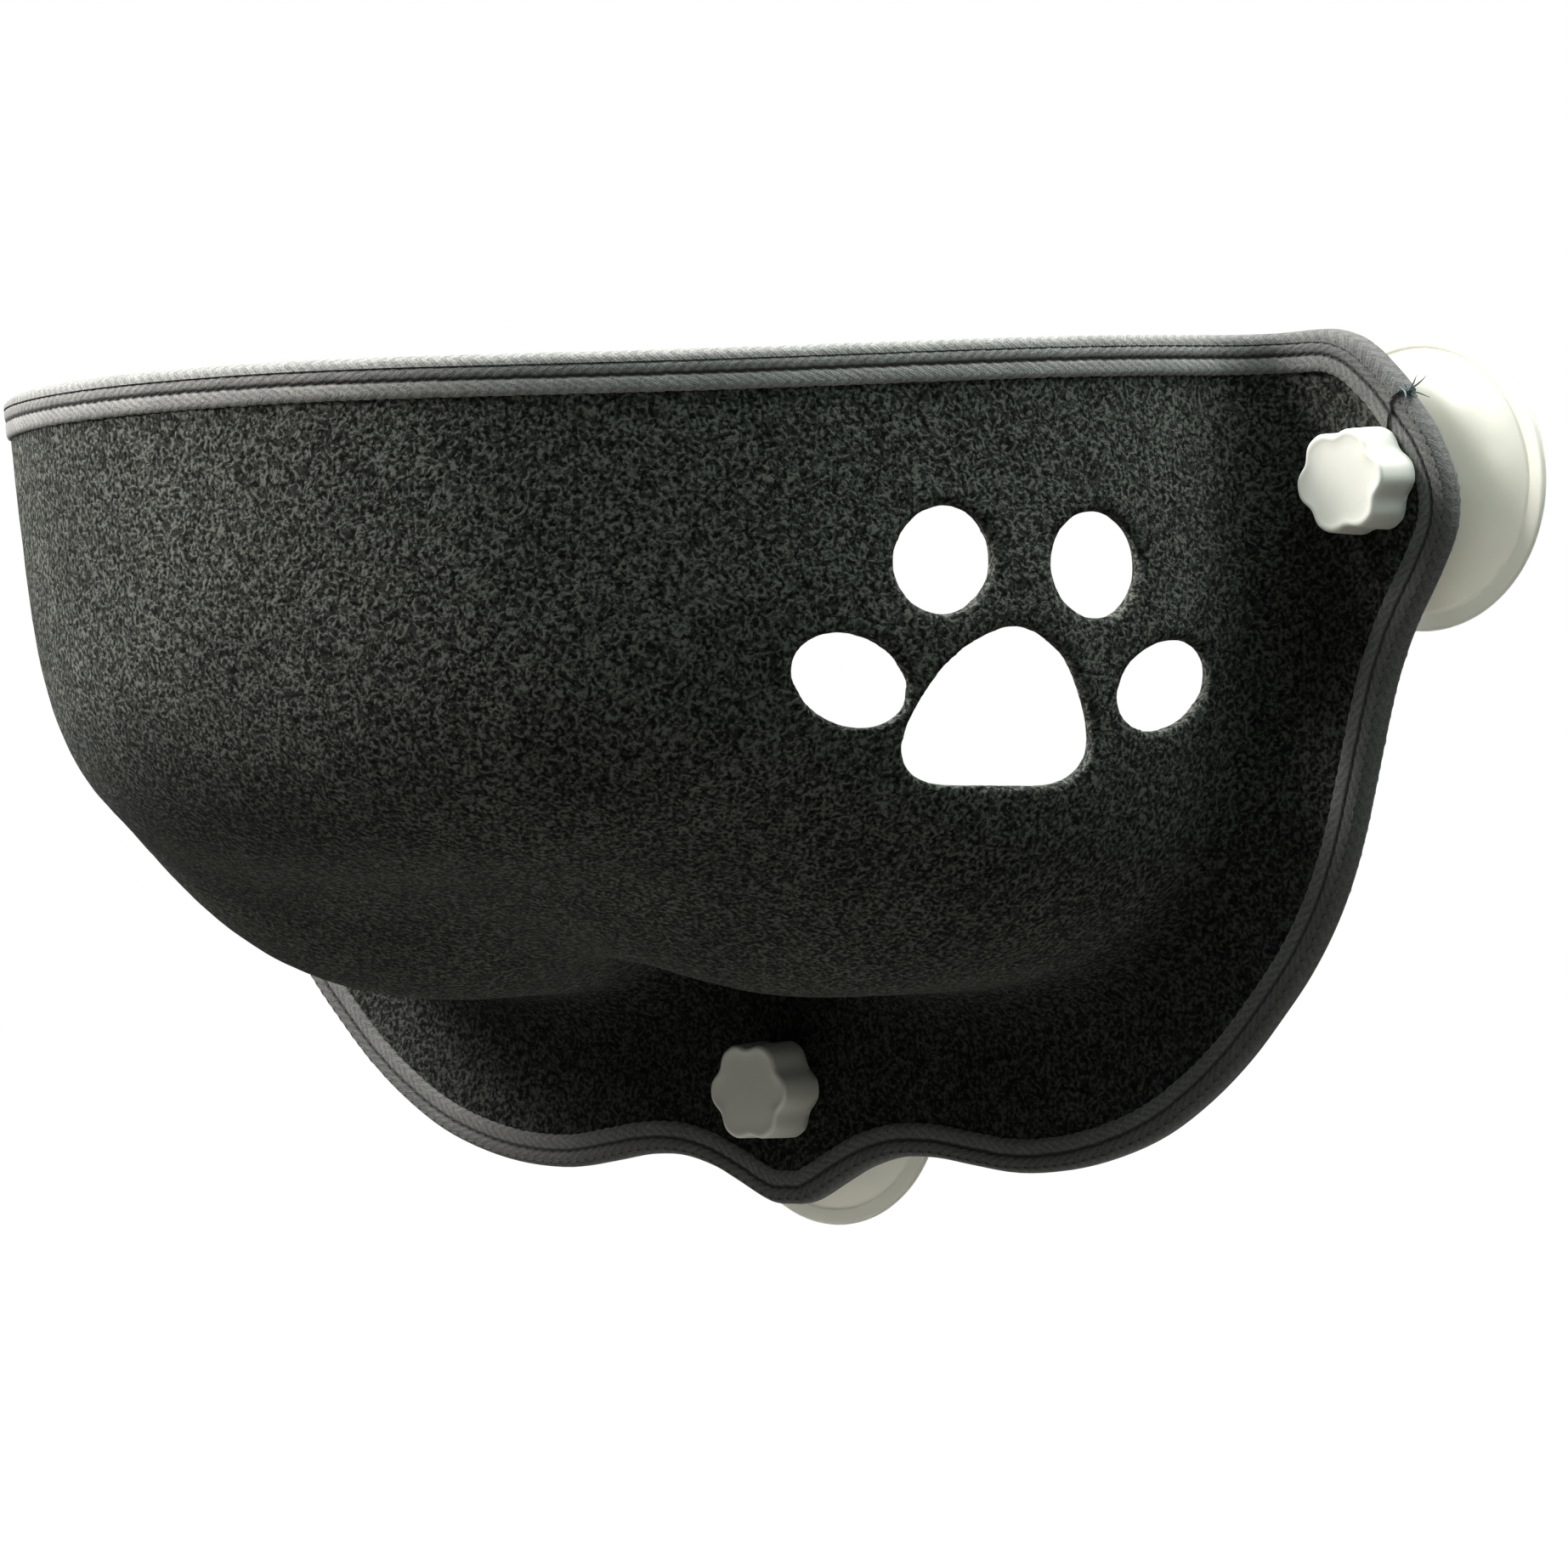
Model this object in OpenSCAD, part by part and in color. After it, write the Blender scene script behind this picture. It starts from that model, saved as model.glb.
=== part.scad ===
// Window perch for a cat: a moulded felt half bowl that hangs on three suction cups.
// X runs right, Y runs into the window and Z runs up. The glass is the plane Y = 0,
// and the origin is the centre of the lower suction cup on the glass.

/* [Bowl] */
// Width of the bowl outside, across its side walls
bowl_w = 416; // [400:2:440]
// Depth of the bowl, from the flange's front face to the front wall
bowl_d = 267; // [240:1:290]
// Height from the underside of the two lobes to the rim at the flange
bowl_h = 206; // [190:1:225]
// Thickness of the moulded felt
felt_t = 7; // [5:0.5:9]
// Radius of the fold where the bowl runs out into the flange
fold_r = 22; // [16:1:26]
// Height of the lobes' underside above the lower knob's axis
lobe_lift = 32; // [30:1:42]

/* [Rim] */
// How much lower the rim is at the front than at the flange
front_fall = 1; // [0:0.5:8]
// How far the rim dips on each side, between the flange and the front
side_dip = 2.5; // [0:0.5:8]

/* [Underside] */
// How much higher the underside is at the front than at the lobes
front_rise = 36; // [24:1:46]
// Distance from the flange at which the underside starts to rise
rise_start = 70; // [55:1:85]
// Distance from the flange at which the underside has risen
rise_end = 180; // [160:1:210]
// Height of the finger groove between the lobes, above the lower knob
groove_h = 24; // [14:1:28]
// Distance from the middle at which the groove has faded to a third
groove_w = 44; // [34:1:56]
// Distance from the flange at which the groove has run out
groove_len = 190; // [150:1:200]

/* [Flange] */
// Distance from the end of the fold to an upper knob's axis
ear_inset = 24; // [20:0.5:30]
// Distance from an upper knob's axis to the outer edge of the ear
ear_reach = 27; // [24:1:34]
// Height of the rim above an upper knob's axis
ear_drop = 47; // [42:1:56]
// Distance from the lower knob's axis to the bottom of the tab
tab_drop = 37.5; // [34:0.5:44]

/* [Edge binding] */
// Thickness of the folded tape
tape_t = 1; // [0.6:0.1:1.6]
// Width of the tape on each face of the felt
tape_leg = 11.5; // [9:0.5:13]

/* [Paw cut-out] */
// Angle round the bowl from its right end at which the paw is punched
paw_turn = 20.5; // [18:0.5:26]
// Height of the paw's middle below the rim
paw_drop = 97; // [90:1:106]
// Width of the main pad's hole
pad_w = 67; // [48:1:68]
// Height of the main pad's hole
pad_h = 49; // [36:1:52]
// Length of an inner toe's hole
inner_toe_l = 33; // [26:1:36]
// Width of an inner toe's hole
inner_toe_w = 35; // [22:1:36]
// Length of an outer toe's hole
outer_toe_l = 40; // [26:1:41]
// Width of an outer toe's hole
outer_toe_w = 27; // [22:1:30]
// How far the outer toes' middles lie beyond half the main pad's width
outer_toe_gap = 23.5; // [23:0.5:27]
// Distance of the inner toes from the paw's middle
inner_toe_x = 28; // [25:1:30]
// Height of the inner toes above the paw's middle
inner_toe_z = 28; // [25:1:32]
// Depth of the outer toes below the paw's middle
outer_toe_z = 9; // [4:1:12]

/* [Suction cups] */
// Diameter of a cup's lip on the glass
cup_dia = 95; // [80:1:100]
// Height of a cup from the glass to the back of the felt
cup_h = 18.7; // [17.7:0.1:22]
// Thickness of the lip where it lies on the glass
lip_t = 2.4; // [1.8:0.1:3]
// Width of the flat ring of the lip on the glass
lip_w = 3; // [2:0.5:4]
// Depth of the hollow in the middle of the cup
hollow_h = 4.5; // [3:0.5:5]
// Height of the dome where it meets the neck
dome_h = 9; // [8.2:0.1:10]
// Diameter of the neck that holds the screw's head
neck_dia = 25; // [22:0.5:28]
// Radius of the bead round the edge of the lip
bead_r = 1.6; // [1:0.1:2]

/* [Screws, washers and knobs] */
// Diameter of a screw's shank
shank_dia = 8; // [6:0.5:9]
// Diameter of a screw's head
head_dia = 16; // [13:0.5:18]
// Thickness of a screw's head
head_t = 3.5; // [2.5:0.1:4.5]
// Length of the shank inside the knob
grip_len = 12.5; // [10:0.5:13]
// Diameter of a washer
washer_dia = 24; // [20:0.5:24]
// Thickness of a washer
washer_t = 1.5; // [1:0.1:2]
// Diameter of a knob over its lobes
knob_dia = 35; // [30:0.5:36]
// Depth of the hollows between the lobes
lobe_depth = 1.8; // [1:0.1:2.4]
// Height of a knob
knob_h = 16.8; // [15:0.1:20]
// Number of lobes on a knob
lobes = 6; // [5:1:8]
// Radius of the knob's front edge
knob_edge_r = 1.6; // [0.8:0.1:2.4]
// Amount that the knob widens towards its foot
knob_flare = 0.8; // [0.4:0.1:1.2]

/* [Clearances] */
// Gap between the felt and what lies on it
seat_gap = 0.3; // [0.2:0.05:0.4]
// Gap between hard faces that meet
face_gap = 0.1; // [0.05:0.01:0.2]
// Gap all round a shank in its hole
run_gap = 0.05; // [0.02:0.01:0.1]

/* [Hidden] */
$fn = 96;

// Amount by which a cut runs past the piece it cuts
overrun = 1;
// Depth to which the bowl's outer skin is set into the flange
bury = 3;
// Width of the flange that laps into the fold
lap = 3;

// Powers of the curves of the bowl: seen from above, and seen from the front
plan_power = 2.25;
wall_power = 4.8;
// Share of its depth by which the front wall leans in at the bottom
lean_share = 0.09;

// Derived places
side_x = bowl_w / 2;
rim_z = lobe_lift + bowl_h;
back_y = -(cup_h + seat_gap);
front_y = back_y - felt_t;
upper_x = side_x + fold_r + ear_inset;
upper_z = rim_z - ear_drop;
edge_x = upper_x + ear_reach;
washer_y = front_y - seat_gap;
knob_y = washer_y - washer_t - face_gap;
pocket_z = dome_h + face_gap;
RIGHT = [upper_x, upper_z];
LEFT = [-upper_x, upper_z];
LOWER = [0, 0];

// Columns of the bowl's skin: angles round the fold, then angles round the plan
fold_angles = [0, 15, 30, 45, 60, 75, 90];
plan_angles = [8, 13, 18, 24, 30, 36, 42, 48, 54, 60, 66, 72, 78, 84, 90];
half_cols = concat([for (a = fold_angles) [a, 0]], [for (a = plan_angles) [90, a]]);
half_n = len(half_cols);
cols = 2 * half_n - 1;

// Rows of the bowl's skin: shares of the fall down the wall, then shares of the reach
// across the floor. The second row is the lower edge of the tape.
fall_shares = [0, 0.06, 0.18, 0.32, 0.45, 0.57, 0.67, 0.76];
reach_shares = [0.86, 0.77, 0.67, 0.57, 0.47, 0.37, 0.28, 0.2, 0.13, 0.07, 0.03];
rows = concat([for (f = fall_shares) [other(f), f]], [for (r = reach_shares) [r, other(r)]]);
row_n = len(rows);

// Right half of the flange's edge, from the tab up to the ear: shares of the edge's
// half width, and shares of the height from the tab's bottom to the rim
edge_shares = [[0, 0], [0.031, 0.003], [0.082, 0.028], [0.119, 0.045], [0.17, 0.058], [0.228, 0.058],
    [0.288, 0.049], [0.352, 0.041], [0.423, 0.045], [0.493, 0.06], [0.562, 0.086], [0.627, 0.126],
    [0.683, 0.172], [0.73, 0.221], [0.77, 0.267], [0.805, 0.318], [0.833, 0.372], [0.855, 0.43],
    [0.873, 0.49], [0.89, 0.549], [0.909, 0.607], [0.935, 0.663], [0.969, 0.718], [0.994, 0.766],
    [1, 0.804], [0.994, 0.839], [0.975, 0.882], [0.95, 0.917], [0.922, 0.951], [0.887, 0.982],
    [0.852, 0.997]];
// Steps of the curve between two of these points
edge_steps = 2;

// Outline of the main pad's hole: shares of its width and height, round from the left
pad_shares = [[-0.5, -0.3], [-0.44, 0.02], [-0.25, 0.33], [0.04, 0.5], [0.29, 0.36], [0.44, 0.06],
    [0.5, -0.28], [0.36, -0.47], [0, -0.5], [-0.36, -0.48]];
pad_steps = 3;
// Place of the main pad's middle below the paw's middle and in front of it, as shares
// of its height and width
pad_fall_share = 0.33;
pad_shift_share = 0.07;
// Tilt of the toes' holes from upright, and of the whole paw towards the flange
inner_tilt = 14;
outer_tilt = 70;
paw_tilt = 2.5;
// Angle between the punch and the square to the wall at the paw's middle
punch_turn = 12;
toe_steps = 24;

// Shape of a cup's dome: the lip's thickness at the dome's foot as a share of that on the
// glass, the width of the lip outside the dome as a share of the bead's radius, and the
// power of the curve
foot_share = 0.8;
rim_share = 4;
dome_power = 1.4;
dome_steps = 10;
// Radius of a knob's lobes, as a share of half the distance between two of them
lobe_share = 0.8;

// The power curve: the height share that belongs to a reach share, and the reverse
function other(v) = pow(max(0, 1 - pow(v, wall_power)), 1 / wall_power);
// A smooth step from 0 to 1
function smooth(u) = let (c = min(1, max(0, u))) c * c * (3 - 2 * c);
// A point on the curve through four points
function curve(p, q, r, s, t) = (q * 2 + (r - p) * t + (p * 2 - q * 5 + r * 4 - s) * t * t
    + (q * 3 - p - r * 3 + s) * t * t * t) / 2;
function unit(v) = norm(v) > 0 ? v / norm(v) : v;

// Height of the underside at x and at a distance d in front of the flange
function floor_z(x, d) = lobe_lift + front_rise * smooth((d - rise_start) / (rise_end - rise_start))
    + groove_h * (1 - smooth(d / groove_len)) * exp(-pow(x / groove_w, 2));
// Height of the rim at an angle round the plan
function rim_at(a) = rim_z - front_fall * pow(sin(a), 2) - side_dip * pow(sin(2 * a), 2);
// Direction in which the fold runs out, at shares of the reach and of the fall
function out_dir(reach, fall) = unit([pow(reach, wall_power - 1) / side_x, pow(fall, wall_power - 1) / bowl_h]);
// How far the fold has run out at a distance d, for the skin at a depth t in the felt
function run_out(d, t) = d >= fold_r ? 0
    : fold_r + t - sqrt(max(0, pow(fold_r + t, 2) - pow(fold_r - max(d, -t), 2)));
// Distance in front of the flange of a column at the rim
function col_d(col, t) = col[1] == 0 ? fold_r - (fold_r + t) * cos(col[0])
    : (bowl_d - t) * pow(sin(col[1]), 2 / plan_power);

// A point of the bowl's skin. col and row are a column and a row number, t is the depth
// in the felt: 0 for the outer skin and felt_t for the inner one.
function skin(col, row, t) =
    let (side = col < half_n ? 1 : -1,
        c = half_cols[col < half_n ? col : cols - 1 - col],
        set = t == 0 ? bury : t,
        full = c[0] == 0 ? -set : col_d(c, t),
        x_share = pow(max(0, 1 - pow(max(0, full) / (bowl_d - t), plan_power)), 1 / plan_power),
        top = rim_at(c[1]),
        drop = top - floor_z(side_x * x_share, full) - t,
        fall = row == 1 ? tape_leg / drop : rows[row][1],
        reach = row == 1 ? other(fall) : rows[row][0],
        d = (full + set) * reach * (1 - lean_share * fall * sin(c[1])) - set,
        x = (side_x - t) * reach * x_share,
        dir = out_dir(x / (side_x - t), fall),
        out = run_out(d, t))
    [side * (x + dir[0] * out), front_y - d,
        top - (top - floor_z(x, d) - t) * fall - dir[1] * out];
function pole(t) = [0, front_y + (t == 0 ? bury : t), floor_z(0, 0) - fold_r];

// Point numbers of the bowl: the outer skin's rows, its pole, then the inner skin's
function at(col, row) = row * cols + col;
pole_n = row_n * cols;
inner_n = pole_n + 1;
function quad(a, b, c, d) = [[a, b, c], [a, c, d]];
function flat_list(lists) = [for (l = lists) each l];

// The edge of the flange seen from the front, from the left ear round the tab to the right
edge_right = concat([for (s = edge_shares) [edge_x * s[0], (rim_z + tab_drop) * s[1] - tab_drop]],
    [[side_x + fold_r, rim_z]]);
function mirrored(p) = [-p[0], p[1]];
edge_keys = concat([for (i = [len(edge_right) - 1:-1:1]) mirrored(edge_right[i])], edge_right);
key_n = len(edge_keys);
edge_path = concat(
    [for (i = [0:key_n - 2]) for (k = [0:edge_steps - 1])
        curve(edge_keys[max(0, i - 1)], edge_keys[i], edge_keys[i + 1],
            edge_keys[min(key_n - 1, i + 2)], k / edge_steps)],
    [edge_keys[key_n - 1]]);
edge_n = len(edge_path);

// A point of the bowl's mouth in the flange, out from the line of the outer wall
function root_point(row, out) =
    let (reach = rows[row][0], fall = rows[row][1], dir = out_dir(reach, fall), x = side_x * reach)
    [x + dir[0] * out, rim_z - (rim_z - floor_z(x, 0)) * fall - dir[1] * out];
mouth_right = [for (row = [0:row_n - 1]) root_point(row, fold_r - lap)];
mouth = concat([[mouth_right[0][0], rim_z + overrun]], mouth_right, [[0, pole(0)[2] + lap]],
    [for (i = [row_n - 1:-1:0]) mirrored(mouth_right[i])], [[-mouth_right[0][0], rim_z + overrun]]);

// Turns a child that stands on Z so that it points into the room from the plane Y = y
module into_room(y) {
    translate([0, y, 0]) rotate([90, 0, 0]) children();
}
module at_cup(place) {
    translate([place[0], 0, place[1]]) children();
}

module bowl_skin() {
    points = concat(
        [for (row = [0:row_n - 1]) for (col = [0:cols - 1]) skin(col, row, 0)], [pole(0)],
        [for (row = [0:row_n - 1]) for (col = [0:cols - 1]) skin(col, row, felt_t)], [pole(felt_t)]);
    last = row_n - 1;
    outer = flat_list([for (row = [0:last - 1]) for (col = [0:cols - 2])
        quad(at(col, row), at(col, row + 1), at(col + 1, row + 1), at(col + 1, row))]);
    outer_cap = [for (col = [0:cols - 2]) [at(col, last), pole_n, at(col + 1, last)]];
    rim = flat_list([for (col = [0:cols - 2])
        quad(at(col, 0), at(col + 1, 0), inner_n + at(col + 1, 0), inner_n + at(col, 0))]);
    right_end = flat_list([for (row = [0:last - 1])
        quad(at(0, row + 1), at(0, row), inner_n + at(0, row), inner_n + at(0, row + 1))]);
    left_end = flat_list([for (row = [0:last - 1])
        quad(at(cols - 1, row), at(cols - 1, row + 1),
            inner_n + at(cols - 1, row + 1), inner_n + at(cols - 1, row))]);
    middle = concat(
        quad(pole_n, at(0, last), inner_n + at(0, last), inner_n + pole_n),
        quad(at(cols - 1, last), pole_n, inner_n + pole_n, inner_n + at(cols - 1, last)));
    skins = concat(outer, outer_cap);
    turned = [for (f = skins) [f[2] + inner_n, f[1] + inner_n, f[0] + inner_n]];
    polyhedron(points, concat(skins, turned, rim, right_end, left_end, middle));
}

module flange() {
    into_room(back_y) linear_extrude(felt_t) difference() {
        polygon(edge_path);
        polygon(mouth);
    }
}

module toe(x, z, w, l, tilt) {
    translate([x, z]) rotate(tilt) polygon([for (i = [0:toe_steps - 1])
        [w * cos(360 * i / toe_steps), l * sin(360 * i / toe_steps)] / 2]);
}

// The five holes of the paw, punched in one direction
module paw_punch() {
    share = pow(sin(paw_turn), 2 / plan_power);
    x_share = pow(cos(paw_turn), 2 / plan_power);
    normal = atan2(pow(share, plan_power - 1) / bowl_d, pow(x_share, plan_power - 1) / side_x);
    pad_n = len(pad_shares);
    pad = [for (i = [0:pad_n - 1]) [pad_w * pad_shares[i][0], pad_h * pad_shares[i][1]]];
    pad_path = [for (i = [0:pad_n - 1]) for (k = [0:pad_steps - 1])
        curve(pad[(i + pad_n - 1) % pad_n], pad[i], pad[(i + 1) % pad_n], pad[(i + 2) % pad_n],
            k / pad_steps)];
    reach = 2 * (fold_r + felt_t);
    translate([side_x * x_share, front_y - bowl_d * share, rim_z - paw_drop])
        rotate([90, 0, 90 - normal - punch_turn]) translate([0, 0, -reach])
        linear_extrude(2 * reach) rotate(-paw_tilt) {
            translate([-pad_w * pad_shift_share, -pad_h * pad_fall_share]) polygon(pad_path);
            for (side = [-1, 1]) {
                toe(side * inner_toe_x, inner_toe_z, inner_toe_w, inner_toe_l, -side * inner_tilt);
                toe(side * (pad_w / 2 + outer_toe_gap), -outer_toe_z, outer_toe_w, outer_toe_l,
                    -side * outer_tilt);
            }
        }
}

module pod_shell() {
    color("#2b2c28") difference() {
        union() {
            bowl_skin();
            flange();
        }
        paw_punch();
        for (place = [RIGHT, LEFT, LOWER])
            at_cup(place) into_room(back_y + overrun)
                cylinder(r = shank_dia / 2 + run_gap, h = felt_t + 2 * overrun);
    }
}

// A station of the binding: the felt's outer and inner corner at the edge, the same skins
// at the tape's lower edge, the direction across the felt and the direction out of its edge
function flange_station(i) =
    let (p = edge_path[i], before = edge_path[max(0, i - 1)], after = edge_path[min(edge_n - 1, i + 1)],
        along = unit(after - before), n = [along[1], 0, -along[0]], e = [p[0], 0, p[1]],
        front = [0, front_y, 0], back = [0, back_y, 0])
    [e + front, e + back, e - n * tape_leg + front, e - n * tape_leg + back, [0, -1, 0], n];
function rim_station(col) =
    let (o = skin(col, 0, 0), i = skin(col, 0, felt_t))
    [o, i, skin(col, 1, 0), skin(col, 1, felt_t), unit(o - i), [0, 0, 1]];
function ring(s) =
    let (near = s[4] * seat_gap, far = s[4] * (seat_gap + tape_t),
        low = s[5] * seat_gap, high = s[5] * (seat_gap + tape_t))
    [s[2] + far, s[0] + far, s[0] + near + high, s[1] - near + high, s[1] - far, s[3] - far,
        s[3] - near, s[1] - near + low, s[0] + near + low, s[2] + near];

module edge_binding() {
    rings = concat([for (i = [0:edge_n - 1]) ring(flange_station(i))],
        [for (col = [1:cols - 2]) ring(rim_station(col))]);
    n = len(rings);
    m = len(rings[0]);
    faces = flat_list([for (i = [0:n - 1]) for (k = [0:m - 1])
        quad(i * m + k, ((i + 1) % n) * m + k, ((i + 1) % n) * m + (k + 1) % m, i * m + (k + 1) % m)]);
    color("#5b5856") polyhedron(flat_list(rings), faces);
}

// Half section of a cup: radius, and height from the glass
module cup_section() {
    r = cup_dia / 2;
    neck_r = neck_dia / 2;
    flat_r = r - bead_r - lip_w;
    foot_z = lip_t * foot_share;
    hollow = [for (i = [0:dome_steps]) let (s = i / dome_steps) [flat_r * s, hollow_h * (1 - s * s)]];
    bead = [for (a = [-60:30:90]) [r - bead_r + bead_r * cos(a), lip_t / 2 + (lip_t / 2) * sin(a)]];
    dome_r = r - bead_r * rim_share;
    dome = [for (i = [dome_steps:-1:0]) let (s = i / dome_steps)
        [neck_r + (dome_r - neck_r) * s, foot_z + (dome_h - foot_z) * (1 - pow(s, dome_power))]];
    polygon(concat(hollow, [[r - bead_r, 0]], bead, dome, [[neck_r, cup_h], [0, cup_h]]));
}

module suction_cup(place) {
    head_r = head_dia / 2 + face_gap;
    color("#ebebe4") at_cup(place) into_room(0) difference() {
        rotate_extrude() cup_section();
        translate([0, 0, pocket_z]) cylinder(r = head_r, h = head_t + 2 * face_gap);
        translate([0, 0, pocket_z]) cylinder(r = shank_dia / 2 + run_gap, h = cup_h);
    }
}

// A screw: its head sits in the cup's neck and its shank passes the felt and the washer
module screw(place) {
    head_z = pocket_z + face_gap;
    color("#b9bab6") at_cup(place) into_room(0) translate([0, 0, head_z]) {
        cylinder(r = head_dia / 2, h = head_t);
        cylinder(r = shank_dia / 2, h = -knob_y + grip_len - head_z);
    }
}

module washer(place) {
    color("#d8d8d0") at_cup(place) into_room(washer_y) difference() {
        cylinder(r = washer_dia / 2, h = washer_t);
        translate([0, 0, -overrun]) cylinder(r = shank_dia / 2 + run_gap, h = washer_t + 2 * overrun);
    }
}

module knob(place) {
    r = knob_dia / 2;
    lobe_r = PI * r / lobes * lobe_share;
    color("#deded6") at_cup(place) into_room(knob_y) difference() {
        intersection() {
            linear_extrude(knob_h) union() {
                circle(r = r - lobe_depth);
                for (i = [0:lobes - 1]) rotate(360 * i / lobes) translate([r - lobe_r, 0]) circle(r = lobe_r);
            }
            rotate_extrude() polygon(concat([[0, 0], [r, 0]],
                [for (a = [0:15:90]) [r - knob_flare - knob_edge_r + knob_edge_r * cos(a),
                    knob_h - knob_edge_r + knob_edge_r * sin(a)]],
                [[0, knob_h]]));
        }
        translate([0, 0, -overrun]) cylinder(r = shank_dia / 2 + run_gap, h = grip_len + 2 * overrun);
    }
}

module right_suction_cup() { suction_cup(RIGHT); }
module right_screw() { screw(RIGHT); }
module right_washer() { washer(RIGHT); }
module right_knob() { knob(RIGHT); }
module left_suction_cup() { suction_cup(LEFT); }
module left_screw() { screw(LEFT); }
module left_washer() { washer(LEFT); }
module left_knob() { knob(LEFT); }
module lower_suction_cup() { suction_cup(LOWER); }
module lower_screw() { screw(LOWER); }
module lower_washer() { washer(LOWER); }
module lower_knob() { knob(LOWER); }

pod_shell();
edge_binding();
right_suction_cup();
right_screw();
right_washer();
right_knob();
left_suction_cup();
left_screw();
left_washer();
left_knob();
lower_suction_cup();
lower_screw();
lower_washer();
lower_knob();
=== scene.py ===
"""Looks of a window perch for a cat: a moulded felt half bowl with a sewn tape round its edge,
held on the glass by three suction cups with screwed knobs.

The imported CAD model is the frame. X runs right, Y runs into the window and Z runs up, in
metres; the glass is the plane Y = 0 and the lower cup's centre is the origin. The sizes in
the classes are in millimetres, as on a drawing, and are scaled where a mesh is made.
"""

import logging
import math
import random
from dataclasses import dataclass
from enum import Enum
from typing import Any, Callable, Iterable, Sequence

import bmesh
import bpy
from mathutils import Matrix, Vector, noise

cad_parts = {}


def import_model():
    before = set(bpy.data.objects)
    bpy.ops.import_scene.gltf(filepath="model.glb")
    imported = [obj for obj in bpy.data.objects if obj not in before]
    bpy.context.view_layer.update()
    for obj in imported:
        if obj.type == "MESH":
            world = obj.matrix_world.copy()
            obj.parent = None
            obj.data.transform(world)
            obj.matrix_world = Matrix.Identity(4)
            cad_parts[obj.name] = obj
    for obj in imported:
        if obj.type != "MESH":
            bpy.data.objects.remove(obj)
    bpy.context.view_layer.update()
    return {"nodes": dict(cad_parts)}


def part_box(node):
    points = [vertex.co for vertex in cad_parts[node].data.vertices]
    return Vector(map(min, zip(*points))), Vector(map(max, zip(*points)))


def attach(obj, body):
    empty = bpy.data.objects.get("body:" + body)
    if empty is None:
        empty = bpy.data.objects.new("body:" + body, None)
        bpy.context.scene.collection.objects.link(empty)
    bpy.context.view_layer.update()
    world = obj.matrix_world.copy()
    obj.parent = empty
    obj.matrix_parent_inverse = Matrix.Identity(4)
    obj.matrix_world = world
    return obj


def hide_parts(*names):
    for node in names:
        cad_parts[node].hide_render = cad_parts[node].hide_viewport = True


MM = 0.001
NEAR_ZERO = 1e-9
# Radius in millimetres of a ring that is to end in a point, before its corners merge.
POINT_RADIUS = 0.0005
LOG = logging.getLogger("perch")
Pair = tuple[float, float]
Point = tuple[float, float, float]
Span = tuple[float, float, float, float]
Colour = tuple[float, float, float, float]
Face = tuple[int, ...]
Column = tuple[float, float, int]
Shape = Callable[[float, float, float], float]
Inputs = dict[str, Any] | Sequence[Any]
Tree = bpy.types.NodeTree
Node = bpy.types.Node
Socket = bpy.types.NodeSocket
Material = bpy.types.Material
Piece = bpy.types.Object


# Small helpers


class Kind(Enum):
    """The kinds of shader node in the finishes and on the stage."""

    NOISE = "ShaderNodeTexNoise"
    RANGE = "ShaderNodeMapRange"
    MATH = "ShaderNodeMath"
    VECTOR = "ShaderNodeVectorMath"
    SPLIT = "ShaderNodeSeparateXYZ"
    MIX = "ShaderNodeMix"
    BUMP = "ShaderNodeBump"
    PLACE = "ShaderNodeTexCoord"
    UV = "ShaderNodeUVMap"
    RAY = "ShaderNodeLightPath"
    MATT = "ShaderNodeBsdfDiffuse"
    GLOW = "ShaderNodeEmission"
    EITHER = "ShaderNodeMixShader"
    BACKDROP = "ShaderNodeBackground"
    SURFACE = "ShaderNodeOutputMaterial"
    SKY = "ShaderNodeOutputWorld"


def linear(hex_colour: str) -> Colour:
    """Turns an sRGB hex colour into linear red, green, blue and alpha.

    Args:
        hex_colour: Six hex digits, with or without a leading hash.

    Returns:
        The linear colour with an alpha of 1.
    """
    digits = hex_colour.lstrip("#")
    parts = [int(digits[i:i + 2], 16) / 255 for i in (0, 2, 4)]
    return tuple(c / 12.92 if c <= 0.04045 else ((c + 0.055) / 1.055) ** 2.4 for c in parts) + (1.0,)


def toned(colour: Colour, share: float) -> Colour:
    """A colour times a share, with an alpha of 1."""
    return tuple(c * share for c in colour[:3]) + (1.0,)


def per_metre(size: float) -> float:
    """How often a feature of a size in millimetres fits in a metre, which is a noise's scale."""
    return 1 / (size * MM)


def fill(tree: Tree, node: Node, inputs: Inputs) -> None:
    """Sets or links a node's inputs.

    Args:
        tree: The tree with the node.
        node: The node.
        inputs: Values, sockets or nodes, by the input's name or in the order of the inputs in use.
            A node stands for its first output in use.
    """
    if isinstance(inputs, dict):
        pairs = [(node.inputs[name], value) for name, value in inputs.items()]
    else:
        pairs = list(zip([socket for socket in node.inputs if socket.enabled], inputs))
    for socket, value in pairs:
        if isinstance(value, Node):
            value = next(output for output in value.outputs if output.enabled)
        if isinstance(value, Socket):
            tree.links.new(value, socket)
        else:
            socket.default_value = value


def add_node(tree: Tree, kind: Kind, inputs: Inputs = (), **settings: Any) -> Node:
    """Adds a node with its settings and links.

    Args:
        tree: The tree that gets the node.
        kind: The node's kind.
        inputs: Values, sockets or nodes, by name or in order.
        **settings: Properties of the node.

    Returns:
        The new node.
    """
    node = tree.nodes.new(kind.value)
    for key, value in settings.items():
        setattr(node, key, value)
    fill(tree, node, inputs)
    return node


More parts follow.
